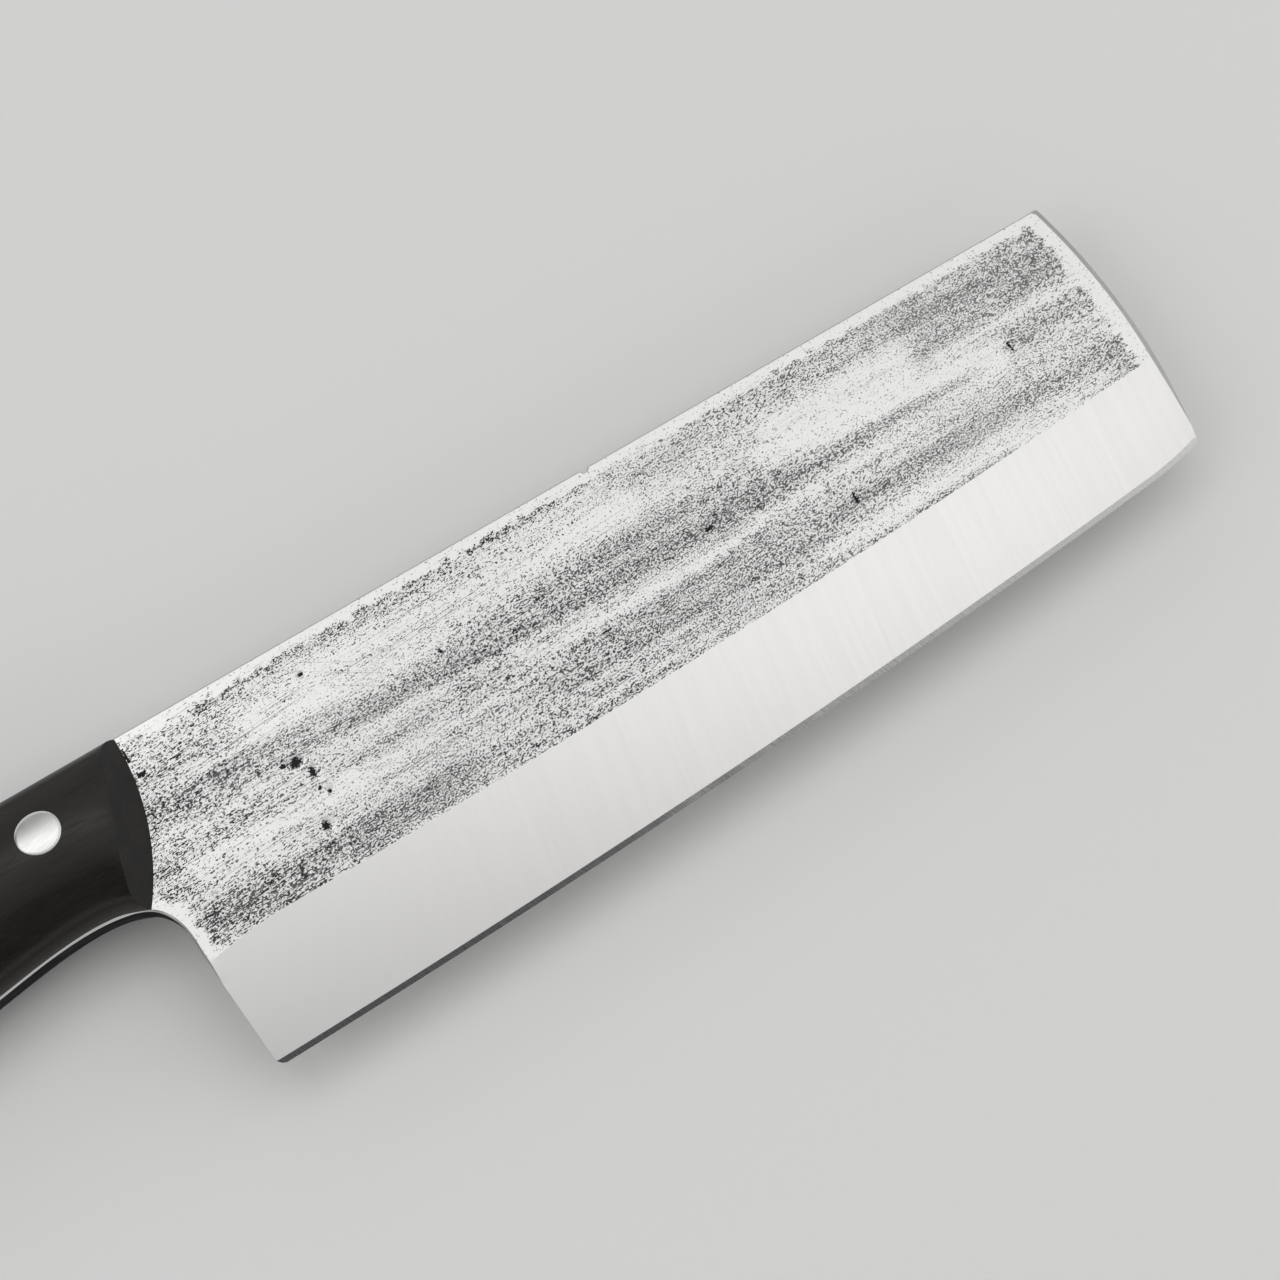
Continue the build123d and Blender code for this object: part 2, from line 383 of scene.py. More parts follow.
def weld_and_crease(mesh: bpy.types.Mesh, crease: float) -> None:
    """Closes a mesh's seams, shades it smooth and marks its sharp edges.

    Args:
        mesh: the mesh.
        crease: the least angle, in radians, at which an edge is sharp.
    """
    work = bmesh.new()
    work.from_mesh(mesh)
    bmesh.ops.remove_doubles(work, verts=work.verts, dist=WELD)
    bmesh.ops.dissolve_degenerate(work, edges=work.edges, dist=SLIVER)
    bmesh.ops.recalc_face_normals(work, faces=work.faces)
    for face in work.faces:
        face.smooth = True
    for edge in work.edges:
        angle = edge.calc_face_angle(0.0)
        parted = len({face.material_index for face in edge.link_faces}) > 1
        edge.smooth = angle < crease and not (parted and angle > PART_ANGLE)
    work.to_mesh(mesh)
    work.free()


# Finishes


@dataclass(frozen=True)
class Grain:
    """Noise whose grains have a size along X, Y and Z in millimetres.

    Detail is how many finer layers it has, turn its angle about Z in radians, and shift moves it, so
    that two of one size differ.
    """

    size: tuple
    detail: float = 0.0
    turn: float = 0.0
    shift: float = 0.0


class Tree:
    """A node tree, with short calls for the nodes that the knife and the studio use."""

    def __init__(self, owner: bpy.types.Material | bpy.types.World) -> None:
        """Takes the tree of a material or a world."""
        owner.use_nodes = True
        self.tree = owner.node_tree

    def put(self, socket: Socket, value: object) -> None:
        """Links a socket to an output, or sets it to a value.

        Args:
            socket: the socket.
            value: an output, a number, or the three numbers of a colour or a place.
        """
        if isinstance(value, Socket):
            self.tree.links.new(value, socket)
        elif socket.type == "RGBA":
            socket.default_value = (*value, 1.0)
        else:
            socket.default_value = value

    def add(self, kind: str, inputs: dict, output: int | str = 0, **settings: str) -> Socket:
        """Adds a node.

        Args:
            kind: its type.
            inputs: what goes into its inputs, by number or name.
            output: the output that is wanted, by number or name.
            settings: its other settings.

        Returns:
            The output.
        """
        node = self.tree.nodes.new(f"ShaderNode{kind}")
        for name, value in settings.items():
            setattr(node, name, value)
        for name, value in inputs.items():
            self.put(node.inputs[name], value)
        return node.outputs[output]

    def blend(self, value: Socket, low: float, high: float, first: object, last: object) -> Socket:
        """A number that runs smoothly from first to last as a value runs from low to high.

        Args:
            value: the value.
            low: where the number starts to run.
            high: where it stops.
            first: the number up to low.
            last: the number from high on.

        Returns:
            The number.
        """
        names = ("Value", "From Min", "From Max", "To Min", "To Max")
        inputs = dict(zip(names, (value, low, high, first, last)))
        return self.add("MapRange", inputs, interpolation_type="SMOOTHSTEP")


class Nodes(Tree):
    """A new material's node tree, with the nodes that the finishes use."""

    def __init__(self, name: str) -> None:
        """Makes the material with its shader and a place in millimetres.

        Args:
            name: the material's name.
        """
        self.material = bpy.data.materials.new(name)
        super().__init__(self.material)
        self.shader = self.tree.nodes["Principled BSDF"]
        self.place = self.vector("MULTIPLY", self.add("TexCoord", {}, "Object"), (METRE,) * 3)

    def vector(self, operation: str, first: object, second: object) -> Socket:
        """A vector sum, product or the like."""
        return self.add("VectorMath", {0: first, 1: second}, operation=operation)

    def math(self, operation: str, first: object, second: object) -> Socket:
        """A sum, product or the like of two numbers."""
        return self.add("Math", {0: first, 1: second}, operation=operation)

    def along(self) -> Socket:
        """How far along the knife a point is, in millimetres."""
        return self.add("SeparateXYZ", {0: self.place}, "X")

    def grain(self, grain: Grain) -> Socket:
        """Noise with grains of a size, about 0.5 in the middle.

        Args:
            grain: the grains.

        Returns:
            The noise.
        """
        way = {"Vector": self.place, "Rotation": (0.0, 0.0, -grain.turn)}
        scaled = self.vector("DIVIDE", self.add("Mapping", way, vector_type="POINT"), grain.size)
        moved = self.vector("ADD", scaled, (grain.shift,) * 3)
        return self.add("TexNoise", {"Vector": moved, "Scale": 1.0, "Detail": grain.detail})

    def swing(self, value: Socket, first: float, last: float) -> Socket:
        """A number that runs from first to last over a noise's usual range."""
        return self.blend(value, NOISE_LOW, NOISE_HIGH, first, last)

    def colour(self, share: Socket, first: object, last: object) -> Socket:
        """A colour between two colours, by a share from 0 to 1."""
        return self.add("Mix", {0: share, 6: first, 7: last}, 2, data_type="RGBA")

    def mixed(self, share: Socket, first: object, last: object) -> Socket:
        """A number between two numbers, by a share from 0 to 1."""
        return self.add("Mix", {0: share, 2: first, 3: last})

    def painted(self, name: str) -> Socket:
        """A number laid on the mesh's points by the piece that uses the finish."""
        return self.add("Attribute", {}, "Fac", attribute_name=name)

    def relief(self, *layers: tuple) -> None:
        """Gives the shader a bump.

        Args:
            layers: pairs of a height and its depth in millimetres, the lowest layer first.
        """
        normal = None
        for height, depth in layers:
            inputs = {"Strength": 1.0, "Distance": depth / METRE, "Height": height}
            if normal is not None:
                inputs["Normal"] = normal
            normal = self.add("Bump", inputs)
        self.put(self.shader.inputs["Normal"], normal)

    def set(self, **values: object) -> bpy.types.Material:
        """Sets the shader's sockets.

        Args:
            values: their values, named with _ for a space.

        Returns:
            The material.
        """
        for name, value in values.items():
            self.put(self.shader.inputs[name.replace("_", " ")], value)
        return self.material


@dataclass(frozen=True)
class ForgedSkin:
    """The blade's flats as they left the fire: bright ground metal mottled with dark scale.

    A field of four numbers says how a value from the first to the second becomes one from the third
    to the fourth.
    """

    bright: tuple = (0.84, 0.84, 0.83)
    veil: tuple = (0.70, 0.70, 0.69)
    dark: tuple = (0.04, 0.04, 0.04)
    soot: tuple = (0.02, 0.02, 0.02)
    speck: Grain = Grain((0.33, 0.22, 0.30), 1.0, turn=0.25)
    stroke: Grain = Grain((1.05, 0.145, 0.40), 1.0, turn=0.05, shift=3.0)
    cluster: Grain = Grain((2.2, 1.2, 2.0), 2.0, shift=11.0)
    band: Grain = Grain((55.0, 3.4, 9.0), 2.0, shift=7.0)
    scratches: tuple = (
        (Grain((16.0, 0.10, 1.0), turn=0.06, shift=9.0), (0.72, 0.80, 0.0, 0.75)),
        (Grain((16.0, 0.10, 1.0), turn=-0.55, shift=15.0), (0.80, 0.86, 0.0, 0.6)),
    )
    scratched: tuple = (0.0, 0.5, 0.2, 1.0)
    band_swing: float = 0.17
    cluster_swing: float = 0.045
    margin_swing: float = 0.7
    pit_swing: float = 0.5
    margin: tuple = (1.0, 2.6, 0.0, 1.0)
    streaky: tuple = (-20.0, 40.0, 0.42, 0.3)
    level: tuple = (0.0, 1.0, 0.645, 0.485)
    ramp: tuple = (-0.018, 0.030, 0.0, 1.0)
    pit: tuple = (0.1, 0.4, 0.0, 1.0)
    depth: tuple = (0.35, 0.65, 0.85, 1.0)
    paler: tuple = (40.0, 125.0, 1.0, 0.82)
    veiled: tuple = (0.2, 1.0, 0.0, 0.75)
    metallic: tuple = (0.0, 1.0, 1.0, 0.6)
    roughness: tuple = (0.0, 1.0, 0.30, 0.6)
    scale_height: float = -0.010
    stroke_height: float = 0.006

    def material(self) -> bpy.types.Material:
        """Makes the material.

        Returns:
            The material.
        """
        nodes = Nodes("forged_skin")
        specks, strokes, clusters = (nodes.grain(g) for g in (self.speck, self.stroke, self.cluster))
        density = self.density(nodes, clusters)
        mottle = nodes.mixed(nodes.blend(nodes.along(), *self.streaky), specks, strokes)
        above = nodes.math("SUBTRACT", mottle, nodes.blend(density, *self.level))
        scale = nodes.math("MAXIMUM", nodes.blend(above, *self.ramp), self.scars(nodes, density))
        ragged = nodes.swing(specks, -self.pit_swing, self.pit_swing)
        pits = nodes.blend(nodes.math("ADD", nodes.painted("pit"), ragged), *self.pit)
        scale = nodes.math("MAXIMUM", scale, pits)
        pale = nodes.blend(nodes.along(), *self.paler)
        depth = nodes.math("MULTIPLY", nodes.blend(clusters, *self.depth), pale)
        dirt = nodes.math("MULTIPLY", scale, depth)
        ground = nodes.colour(nodes.blend(density, *self.veiled), self.bright, self.veil)
        skin = nodes.colour(dirt, ground, self.dark)
        nodes.relief((scale, self.scale_height), (strokes, self.stroke_height))
        return nodes.set(
            Base_Color=nodes.colour(pits, skin, self.soot),
            Metallic=nodes.blend(scale, *self.metallic),
            Roughness=nodes.blend(scale, *self.roughness),
        )

    def density(self, nodes: Nodes, clusters: Socket) -> Socket:
        """How dense the scale is, uneven in bands and clusters and clear of the blade's edges.

        Args:
            nodes: the material's nodes.
            clusters: noise in small clusters.

        Returns:
            The density, from 0 to about 1.
        """
        density = nodes.painted("skin")
        for value, reach in ((nodes.grain(self.band), self.band_swing), (clusters, self.cluster_swing)):
            density = nodes.math("ADD", density, nodes.swing(value, -reach, reach))
        ragged = nodes.swing(clusters, -self.margin_swing, self.margin_swing)
        margin = nodes.math("ADD", nodes.painted("margin"), ragged)
        return nodes.math("MULTIPLY", density, nodes.blend(margin, *self.margin))

    def scars(self, nodes: Nodes, density: Socket) -> Socket:
        """Long thin scratches, fewer where the scale is thin.

        Args:
            nodes: the material's nodes.
            density: how dense the scale is.

        Returns:
            How dark they make the skin, from 0 to 1.
        """
        scars = [nodes.blend(nodes.grain(grain), *ends) for grain, ends in self.scratches]
        return nodes.math("MULTIPLY", nodes.math("MAXIMUM", *scars), nodes.blend(density, *self.scratched))


@dataclass(frozen=True)
class Polish:
    """Bare metal with fine scratches, whose heights are millimetres."""

    name: str
    base: tuple
    fine: Grain
    height: float
    roughness: tuple

    def shade(self, nodes: Nodes) -> object:
        """The metal's colour."""
        return self.base

    def material(self) -> bpy.types.Material:
        """Makes the material.

        Returns:
            The material.
        """
        nodes = Nodes(self.name)
        fine = nodes.grain(self.fine)
        nodes.relief((fine, self.height))
        rough = nodes.swing(fine, *self.roughness)
        return nodes.set(Base_Color=self.shade(nodes), Metallic=1.0, Roughness=rough)


@dataclass(frozen=True)
class SatinGrind(Polish):
    """The primary bevel, ground bright with fine scratches across the edge, and painted shade towards the
    heel.
    """

    name: str = "satin_grind"
    base: tuple = (0.828, 0.814, 0.80)
    fine: Grain = Grain((0.16, 26.0, 2.0), 2.0, turn=-0.165)
    height: float = 0.0006
    roughness: tuple = (0.29, 0.34)
    pale: tuple = (0.85, 0.838, 0.825)
    # Painted shade: the bevel's darker, cooler colour at the heel
    heel: tuple = (0.80, 0.798, 0.792)
    broad: Grain = Grain((0.7, 34.0, 4.0), 2.0, turn=-0.165, shift=5.0)
    # Where the painted shade at the heel gives way to the streaked ground, in millimetres along the knife
    reach: tuple = (-35.0, 45.0, 0.0, 1.0)

    def shade(self, nodes: Nodes) -> Socket:
        """Pale streaks, and painted shade that makes the bevel darker and cooler towards the heel.

        Args:
            nodes: the material's nodes.

        Returns:
            The colour.
        """
        streaks = nodes.swing(nodes.grain(self.broad), 0.0, 1.0)
        ground = nodes.colour(streaks, self.base, self.pale)
        # Painted shade: the colour runs from the darker heel to the streaked ground along the knife
        return nodes.colour(nodes.blend(nodes.along(), *self.reach), self.heel, ground)


@dataclass(frozen=True)
class HonedEdge(Polish):
    """The strip honed on a stone along the edge: painted shade at the heel, painted reflection at the tip.
    """

    name: str = "honed_edge"
    # Painted shade: the strip's dark colour at the heel
    base: tuple = (0.24, 0.24, 0.24)
    fine: Grain = Grain((0.12, 3.0, 1.0), 1.0, turn=0.5)
    height: float = 0.0008
    roughness: tuple = (0.2, 0.32)
    # Painted reflection: the strip's bright colour towards the tip
    bright: tuple = (0.68, 0.68, 0.67)
    # Noise that makes the painted shade and reflection uneven along the strip
    cloud: Grain = Grain((8.0, 8.0, 8.0), 2.0, shift=3.0)
    cloud_swing: float = 12.0
    # Where the painted shade gives way to the painted reflection, in millimetres along the knife
    reach: tuple = (10.0, 75.0, 0.0, 1.0)

    def shade(self, nodes: Nodes) -> Socket:
        """Painted shade and reflection: brighter from the heel to the tip, in uneven clouds.

        Args:
            nodes: the material's nodes.

        Returns:
            The colour.
        """
        cloud = nodes.swing(nodes.grain(self.cloud), -self.cloud_swing, self.cloud_swing)
        along = nodes.math("ADD", nodes.along(), cloud)
        return nodes.colour(nodes.blend(along, *self.reach), self.base, self.bright)


@dataclass(frozen=True)
class PolishedRim(Polish):
    """The spine, tip end, choil and tang edges, polished along their length."""

    name: str = "polished_rim"
    base: tuple = (0.62, 0.62, 0.61)
    fine: Grain = Grain((6.0, 6.0, 0.12), 1.0)
    height: float = 0.003
    roughness: tuple = (0.28, 0.38)


@dataclass(frozen=True)
class RivetMetal(Polish):
    """The rivets' nickel silver, ground flush and polished."""

    name: str = "rivet_metal"
    base: tuple = (0.64, 0.64, 0.63)
    fine: Grain = Grain((2.0, 0.1, 0.3), 1.0, turn=0.3)
    height: float = 0.002
    roughness: tuple = (0.16, 0.24)


@dataclass(frozen=True)
class DarkEdge:
    """The tang's and the heel's edges: painted shade makes them near black, with lighter rubbed spots."""

    # Painted shade: the edges' near-black colour
    base: tuple = (0.006, 0.006, 0.006)
    rubbed: tuple = (0.02, 0.02, 0.02)
    wear: Grain = Grain((5.0, 5.0, 0.5), 2.0)
    worn: tuple = (0.45, 0.75, 0.0, 1.0)
    fine: Grain = Grain((3.0, 3.0, 0.12), 1.0, shift=6.0)
    height: float = 0.004
    roughness: tuple = (0.6, 0.45)
    specular: float = 0.06

    def material(self) -> bpy.types.Material:
        """Makes the material.

        Returns:
            The material.
        """
        nodes = Nodes("dark_edge")
        wear = nodes.grain(self.wear)
        nodes.relief((nodes.grain(self.fine), self.height))
        return nodes.set(
            Base_Color=nodes.colour(nodes.blend(wear, *self.worn), self.base, self.rubbed),
            Roughness=nodes.swing(wear, *self.roughness),
            Specular_IOR_Level=self.specular,
        )


@dataclass(frozen=True)
class DarkWood:
    """The scales' wood, dyed near black and rubbed to a satin, with its grain along the handle."""

    deep: tuple = (0.0015, 0.0014, 0.0013)
    warm: tuple = (0.0085, 0.0062, 0.005)
    figure: Grain = Grain((26.0, 1.4, 2.0), 3.0)
    pore: Grain = Grain((4.0, 0.14, 0.18), 1.0, shift=4.0)
    rub: Grain = Grain((7.0, 5.0, 5.0), 3.0, shift=8.0)
    figure_shade: tuple = (0.2, 1.0)
    pore_shade: tuple = (0.35, 0.5, 0.4, 1.0)
    pore_edge: tuple = (0.3, 0.45, 0.0, 1.0)
    pore_height: float = 0.008
    figure_height: float = 0.012
    rough_pores: tuple = (0.3, 0.6, 0.07, 0.0)
    roughness: tuple = (0.23, 0.32)
    specular: float = 0.42
    tint: tuple = (1.0, 0.95, 0.915)

    def material(self) -> bpy.types.Material:
        """Makes the material.

        Returns:
            The material.
        """
        nodes = Nodes("dark_wood")
        figure, pores = nodes.grain(self.figure), nodes.grain(self.pore)
        dark_pores = nodes.blend(pores, *self.pore_shade)
        shade = nodes.math("MULTIPLY", nodes.swing(figure, *self.figure_shade), dark_pores)
        sunk = nodes.blend(pores, *self.pore_edge)
        nodes.relief((sunk, self.pore_height), (figure, self.figure_height))
        rubbed = nodes.swing(nodes.grain(self.rub), *self.roughness)
        return nodes.set(
            Base_Color=nodes.colour(shade, self.deep, self.warm),
            Roughness=nodes.math("ADD", nodes.blend(pores, *self.rough_pores), rubbed),
            Specular_IOR_Level=self.specular,
            Specular_Tint=self.tint,
        )


@dataclass(frozen=True)
class EndGrain:
    """The scale's front face, cut across the wood and left matte."""

    base: tuple = (0.022, 0.022, 0.022)
    brown: tuple = (0.031, 0.027, 0.0235)
    pore: Grain = Grain((0.3, 0.3, 0.3), 1.0)
    stain: Grain = Grain((6.0, 5.0, 4.0), 1.0, shift=2.0)
    stained: tuple = (0.4, 0.65, 0.0, 1.0)
    height: float = 0.02
    roughness: tuple = (0.7, 0.55)
    specular: float = 0.25

    def material(self) -> bpy.types.Material:
        """Makes the material.

        Returns:
            The material.
        """
        nodes = Nodes("end_grain")
        pores = nodes.grain(self.pore)
        nodes.relief((pores, self.height))
        stain = nodes.blend(nodes.grain(self.stain), *self.stained)
        return nodes.set(
            Base_Color=nodes.colour(stain, self.base, self.brown),
            Roughness=nodes.swing(pores, *self.roughness),
            Specular_IOR_Level=self.specular,
        )


# The blade


# How uneven a dent's rim is, and the rings of mesh points round its middle: their share and count
DENT_WOBBLE = 0.25
DENT_RINGS = ((0.0, 1), (0.45, 6), (0.8, 10), (1.1, 12))


@dataclass(frozen=True)
class Dent:
    """A pit in the blade's skin: its middle, its reach along X and Y and its depth."""

    x: float
    y: float
    reach_x: float
    reach_y: float
    depth: float

    def fullness(self, point: Vector) -> float:
        """Tells how far into the dent a point is.

        Args:
            point: the point of the side view.

        Returns:
            1 in the dent's middle, 0 at its slightly uneven rim, and less outside.
        """
        wobble = 1 + DENT_WOBBLE * noise(Vector((point.x, point.y, self.x)))
        away = hypot((point.x - self.x) / self.reach_x, (point.y - self.y) / self.reach_y) * wobble
        return 1 - away**2

    def points(self) -> list[Vector]:
        """Points for the mesh in and round the dent.

        Returns:
            The points of the side view.
        """
        return [
            Vector((self.x + self.reach_x * ring * cos(a), self.y + self.reach_y * ring * sin(a)))
            for ring, count in DENT_RINGS
            for a in round_turns(count)
        ]


@dataclass(frozen=True)
class Band:
    """A stretch of denser or thinner scale: its two ends, its half height and its weight."""

    start: tuple
    end: tuple
    spread: float
    weight: float

    def at(self, point: Vector) -> float:
        """What the band adds at a point."""
        away = from_line(point, Vector(self.start), Vector(self.end)) / self.spread
        return self.weight / (1 + away**4)


BANDS = (
    Band((2, 50), (8, 24), 8.0, 0.14),
    Band((15, 52.3), (76, 52.6), 0.7, 0.30),
    Band((10, 49.5), (26, 49.0), 2.2, 0.14),
    Band((22, 45.5), (84, 46.5), 3.4, -0.30),
    Band((86, 48.5), (120, 49.0), 3.0, 0.10),
    Band((140, 47.5), (165, 47.0), 3.8, 0.22),
    Band((112, 44.5), (134, 43.5), 1.8, -0.34),
    Band((14, 40.5), (110, 39.0), 2.0, 0.20),
    Band((50, 37.0), (142, 35.6), 1.4, 0.14),
    Band((108, 41.5), (147, 37.2), 1.8, -0.36),
    Band((151, 37.6), (166, 37.6), 2.0, 0.30),
    Band((140, 41.3), (167, 41.0), 0.8, -0.28),
    Band((5, 30.5), (13, 30.0), 3.4, -0.30),
    Band((20, 32.5), (28, 31.0), 3.0, -0.16),
    Band((60, 33.0), (166, 32.8), 1.2, -0.20),
    Band((3, 24.0), (44, 23.5), 2.4, 0.16),
    Band((62, 27.5), (108, 27.5), 2.6, 0.14),
    Band((112, 28.3), (166, 28.6), 1.5, 0.20),
    Band((108, 23.5), (160, 25.0), 1.3, -0.16),
    Band((12, 19.2), (28, 19.7), 0.5, 0.25),
    Band((26, 19.9), (70, 19.9), 0.7, 0.34),
    Band((70, 20.3), (118, 21.4), 0.5, 0.20),
    Band((122, 21.6), (140, 22.0), 0.6, 0.36),
)

DENTS = (
    Dent(23.5, 37.1, 1.2, 0.9, 0.35),
    Dent(21.6, 37.6, 0.5, 0.45, 0.12),
    Dent(24.9, 34.6, 0.65, 0.9, 0.25),
    Dent(24.6, 31.9, 0.45, 0.45, 0.15),
    Dent(25.6, 30.7, 0.4, 0.4, 0.15),
    Dent(22.6, 26.4, 0.75, 0.95, 0.35),
    Dent(94.2, 36.2, 0.8, 0.45, 0.2),
    Dent(96.0, 37.6, 0.4, 0.3, 0.12),
    Dent(115.6, 28.5, 0.38, 1.2, 0.25),
    Dent(30.6, 48.7, 0.6, 0.32, 0.12),
    Dent(72.4, 30.3, 1.3, 0.22, 0.1),
    Dent(50.0, 40.8, 0.35, 0.5, 0.1),
    Dent(149.9, 37.2, 0.3, 1.3, 0.12),
    Dent(3.6, 47.5, 1.0, 0.5, 0.02),
    Dent(2.9, 51.2, 0.35, 2.6, 0.01),
)


@dataclass
class Blade:
    """The blade and its tang, one piece of steel with five finishes. Lengths are millimetres."""

    length: float = 165.0
    heel_height: float = 54.75
    rise: float = 7.75
    straight_share: float = 0.117
    rocker_length: float = 10.0
    rocker_rise: float = 0.95
    tip_lead: float = 2.5
    tip_bulge: float = 2.48
    heel_lean: float = 1.5
    heel_straight: float = 18.4
    heel_ease: float = 1.2
    choil_run: float = 12.5
    choil_rise: float = 12.2
    choil_shares: tuple = ((0.055, 0.535), (0.245, 0.835), (0.58, 0.965))
    thickness: float = 3.8
    tip_thickness: float = 1.9
    taper_start: float = 4.5
    bevel_heel: float = 19.2
    bevel_tip: float = 15.8
    dip: float = 1.3
    dip_length: float = 12.0
    crown: float = 0.12
    shoulder: float = 0.45
    micro_width: float = 0.85
    chamfer: float = 0.3
    tip_chamfer: tuple = (0.95, 0.6)
    tip_margin: float = 1.5
    nick_share: float = 0.505
    nick: tuple = (1.4, 0.6)
    grip_length: float = 116.0
    grip_height: float = 24.15
    grip_shares: tuple = (
        (0.12, 0.0, 1.0, 0.90),
        (0.285, 0.0, 1.095, 0.955),
        (0.48, 0.012, 1.14, 1.0),
        (0.69, 0.05, 1.115, 0.98),
        (0.86, 0.105, 1.135, 0.975),
        (0.97, 0.15, 1.205, 0.99),
    )
    butt_radii: tuple = (7.0, 5.0)
    rivet_shares: tuple = ((0.11, 0.379), (0.48, 0.52), (0.85, 0.60))
    hole_radius: float = 2.5
    hole_sides: int = 20
    least_inset: float = 0.05
    mesh_step: float = 1.0
    tang_steps: float = 4.0
    fine_from: float = -12.0
    least_step: float = 0.55
    line_step: float = 0.7
    corner_step: float = 0.3
    bevel_behind: float = 2.0
    bevel_ahead: float = 1.0
    heel_reach: float = 1.1
    tip_reach: float = 1.0
    halvings: int = 12
    crease: float = 0.5
    wave_size: tuple = (14.0, 7.0)
    wave_shift: float = 4.0
    wave_depth: float = 0.035
    calm: float = 2.0
    density: float = 0.585

    def belly(self, x: float) -> float:
        """Height of the long belly of the edge, before the rocker at the tip."""
        along = x / self.length
        return self.rise * (self.straight_share * along + (1 - self.straight_share) * along**2)

    def edge(self, x: float) -> float:
        """Height of the cutting edge."""
        past = max(x - (self.length - self.rocker_length), 0) / self.rocker_length
        return self.belly(x) + self.rocker_rise * past**2

    def bevel_line(self, x: float) -> float:
        """Height of the line where the bevel meets the flat."""
        dip = self.dip * (max(self.dip_length - x, 0) / self.dip_length) ** 2
        return self.belly(x) + self.bevel_heel - (self.bevel_heel - self.bevel_tip) * x / self.length - dip

    def half(self, x: float) -> float:
        """Half of the thickness at the flats."""
        along = max(x - self.taper_start, 0) / (self.length - self.taper_start)
        return self.thickness / 2 - (self.thickness - self.tip_thickness) / 2 * along

    def grip_point(self, back: float, drop: float) -> Vector:
        """A point of the handle's side view, from its shares back and down."""
        return Vector((-back * self.grip_length, self.heel_height - drop * self.grip_height))

    def choil_points(self) -> list[Vector]:
        """The points of the choil's curve.

        Returns:
            The points, from the heel to the handle.
        """
        return [
            Vector((-self.heel_lean - along * self.choil_run, self.heel_straight + up * self.choil_rise))
            for along, up in self.choil_shares
        ]

    def tip_circle(self) -> tuple[Vector, float]:
        """Centre and radius of the tip end's arc.

        Returns:
            The centre and the radius.
        """
        top = Vector((self.length + self.tip_lead, self.heel_height))
        low = Vector((self.length, self.edge(self.length)))
        radius = ((top - low).length ** 2 / 4 + self.tip_bulge**2) / (2 * self.tip_bulge)
        down = (low - top).normalized()
        return (top + low) / 2 + Vector((down.y, -down.x)) * (radius - self.tip_bulge), radius

    def butt(self) -> list[Vector]:
        """The tang's line from above the butt, round it and back under it.

        Returns:
            The line's points.
        """
        top = [self.grip_point(row[0], row[1]) for row in self.grip_shares[1:]]
        bottom = [self.grip_point(row[0], row[2]) for row in self.grip_shares]
        back = Vector((-self.grip_length, (top[-1].y + bottom[-1].y) / 2))
        over = Curve(top, (-1, 0), top[-1] - top[-2]).spread(self.line_step)
        under = Curve(bottom[::-1], bottom[-2] - bottom[-1], (1, 0)).spread(self.line_step)
        end = arc(top[-1], back, bottom[-1], self.line_step)
        return eased(eased(over, end, self.butt_radii[0]), under, self.butt_radii[1])

    def nick_line(self) -> list[Vector]:
        """The spine from the tip to the tang, with the small chip in it.

        Returns:
            The line's points.
        """
        middle = self.nick_share * self.length
        wide, deep = self.nick
        low = self.heel_height - deep
        corner = Vector((self.length + self.tip_lead, self.heel_height))
        right = Vector((middle + wide / 2, self.heel_height))
        left = Vector((middle - wide / 2, self.heel_height))
        chip = [Vector((middle + wide / 6, low)), Vector((middle - wide / 6, low))]
        tang = self.grip_point(*self.grip_shares[1][:2])
        return spread(corner, right, self.line_step) + chip + spread(left, tang, self.line_step)

    def outline(self) -> list[Vector]:
        """The closed side view, anticlockwise from the heel.

        Returns:
            Its points, none of them twice.
        """
        heel = Vector((-self.heel_lean * self.heel_ease / self.heel_straight, self.heel_ease))
        foot = Vector((self.heel_ease, self.edge(self.heel_ease)))
        bend = (heel + foot) / 3
        count = int(self.length / self.line_step)
        run = (self.length - self.heel_ease) / count
        edge = [Vector((x, self.edge(x))) for x in (self.heel_ease + run * i for i in range(count + 1))]
        low, high = edge[-1], Vector((self.length + self.tip_lead, self.heel_height))
        centre, _ = self.tip_circle()
        crest = (low + high) / 2 + ((low + high) / 2 - centre).normalized() * self.tip_bulge
        tip = arc(low, crest, high, self.line_step)
        start = Vector((-self.heel_lean, self.heel_straight))
        choil = [self.grip_point(*self.grip_shares[0][::2]), *self.choil_points()[::-1], start]
        curve = Curve(choil, (1, 0), heel - start).spread(self.line_step)
        straight = spread(start, heel, self.line_step)
        corner = arc(heel, bend, foot, self.corner_step)
        parts = [corner, edge, tip, self.nick_line(), self.butt(), curve, straight]
        line = [point for part in parts for point in part[:-1]]
        return [point for point, last in zip(line, line[-1:] + line) if (point - last).length > FLAT_SLIVER]

    def level(self, point: Vector, inset: float) -> tuple[float, Steel]:
        """Half of the thickness at a point of the side view, and the finish there.

        Args:
            point: the point.
            inset: its distance from the outline's nearest point that isn't the cutting edge.

        Returns:
            The half thickness and the finish.
        """
        flat = self.half(point.x)
        rim = flat - self.chamfer + inset
        wide, deep = self.tip_chamfer
        if point.x > self.length - self.rocker_length:
            centre, radius = self.tip_circle()
            tip = radius - (point - centre).length
            rim = flat - deep + tip * deep / wide if tip < wide else rim
        levels = [(flat, Steel.SKIN), (rim, Steel.RIM)]
        line = self.bevel_line(point.x)
        if point.x > -self.heel_reach * self.heel_lean and point.y < line:
            above = point.y - self.edge(point.x)
            share = (above - self.micro_width) / (line - self.edge(point.x) - self.micro_width)
            low = self.shoulder / 2
            levels.append((low + (flat - low) * share + 4 * self.crown * share * (1 - share), Steel.GRIND))
            levels.append((max(above * low / self.micro_width, 0.0), Steel.HONED))
        return min(levels)

